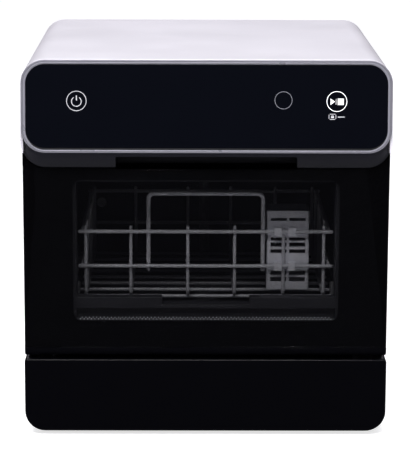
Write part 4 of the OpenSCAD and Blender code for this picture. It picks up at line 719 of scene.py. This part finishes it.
# Key prints: the three keys sense a finger through the glass, so all that shows of them is
# their symbols, printed in white ceramic ink and lit from behind in cold white. A small lock
# mark with a bar stands under the start key.
KEY_UP, POWER_X, PROGRAM_X, START_X = 59.2, -146.8, 86.5, 146.7
LOCK_X, LOCK_UP = 141.8, KEY_UP - 17.4
INK_OUT = -1.34  # just in front of the glass


def lit_print(name, colour, power):
    """White ceramic ink on glass, with a light behind it. Its matt grain is about 1 mm."""
    grain_scale = 900.0
    material, tree = new_material(name)
    place = add_node(tree, "TexCoord")
    grain = add_node(tree, "TexNoise", inputs={
        "Vector": place.outputs["Object"], "Scale": grain_scale, "Detail": 2.0})
    rough = add_node(tree, "MapRange", inputs={
        "Value": grain.outputs["Fac"], "To Min": 0.45, "To Max": 0.65})
    shade = add_node(tree, "BsdfPrincipled", inputs={
        "Base Color": linear(colour), "Roughness": rough.outputs["Result"],
        "Emission Color": linear(colour), "Emission Strength": power})
    add_node(tree, "OutputMaterial", inputs={"Surface": shade.outputs["BSDF"]})
    return material


def ink_ring(up, outer, stroke, start=0.0, sweep=360.0, steps=64):
    """A flat ring, or an arc of one, of the given stroke inside the radius outer. Its middle
    is at the height up over the key's middle. Points are x and up from there."""
    turn = np.radians(start + np.linspace(0, sweep, steps + 1))
    radii = np.array([outer, outer - stroke])[:, None]
    points = np.stack((radii * np.cos(turn), up + radii * np.sin(turn)), -1)
    low = np.arange(steps)
    faces = np.stack((low, low + 1, low + steps + 2, low + steps + 1), -1)
    return points.reshape(-1, 2), faces.tolist()


def ink_shape(corners):
    """A flat shape with the given corners, each x and up from the key's middle."""
    return np.array(corners, float), [list(range(len(corners)))]


def ink_bar(x0, up0, x1, up1):
    """A flat upright rectangle."""
    return ink_shape([(x0, up0), (x1, up0), (x1, up1), (x0, up1)])


def put_ink(name, x, up, parts, finish):
    """Joins flat parts and lays them on the glass, with the key's middle at x and up."""
    flat, faces = joined(parts)
    made = new_object(name, on_panel(x + flat[:, 0], up + flat[:, 1], INK_OUT), faces, finish)
    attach(made, "cabinet")


put_ink("power_key", POWER_X, KEY_UP, [
    ink_ring(-0.3, outer=11.4, stroke=0.75),
    ink_ring(-0.9, outer=5.9, stroke=0.9, start=125, sweep=290),
    ink_bar(-0.6, 0.2, 0.6, 5.8)], lit_print("power_ink", "#A9A8AD", 0.2))
put_ink("program_key", PROGRAM_X, KEY_UP, [ink_ring(1.0, outer=10.0, stroke=0.6)],
        lit_print("program_ink", "#6E6E76", 0.08))
put_ink("start_key", START_X, KEY_UP, [
    ink_ring(-0.2, outer=11.6, stroke=0.7),
    ink_shape([(-7.2, -4.1), (-2.2, -0.4), (-7.2, 3.3)]),
    ink_bar(-1.2, -3.6, -0.8, 2.8),
    ink_bar(1.0, -4.0, 7.7, 3.1)], lit_print("start_ink", "#E9E9EA", 0.36))
put_ink("lock_mark", LOCK_X, LOCK_UP, [
    ink_bar(-3.2, -3.2, 3.2, -2.6), ink_bar(-3.2, 2.6, 3.2, 3.2),
    ink_bar(-4.2, -2.3, -3.6, 2.3), ink_bar(3.6, -2.3, 4.2, 2.3),
    ink_ring(0.3, outer=1.5, stroke=0.5, start=0, sweep=180, steps=16),
    ink_bar(-1.7, -1.5, 1.7, 0.4), ink_bar(6.0, -0.7, 13.8, 0.2)],
    lit_print("lock_ink", "#B4B4B9", 0.2))
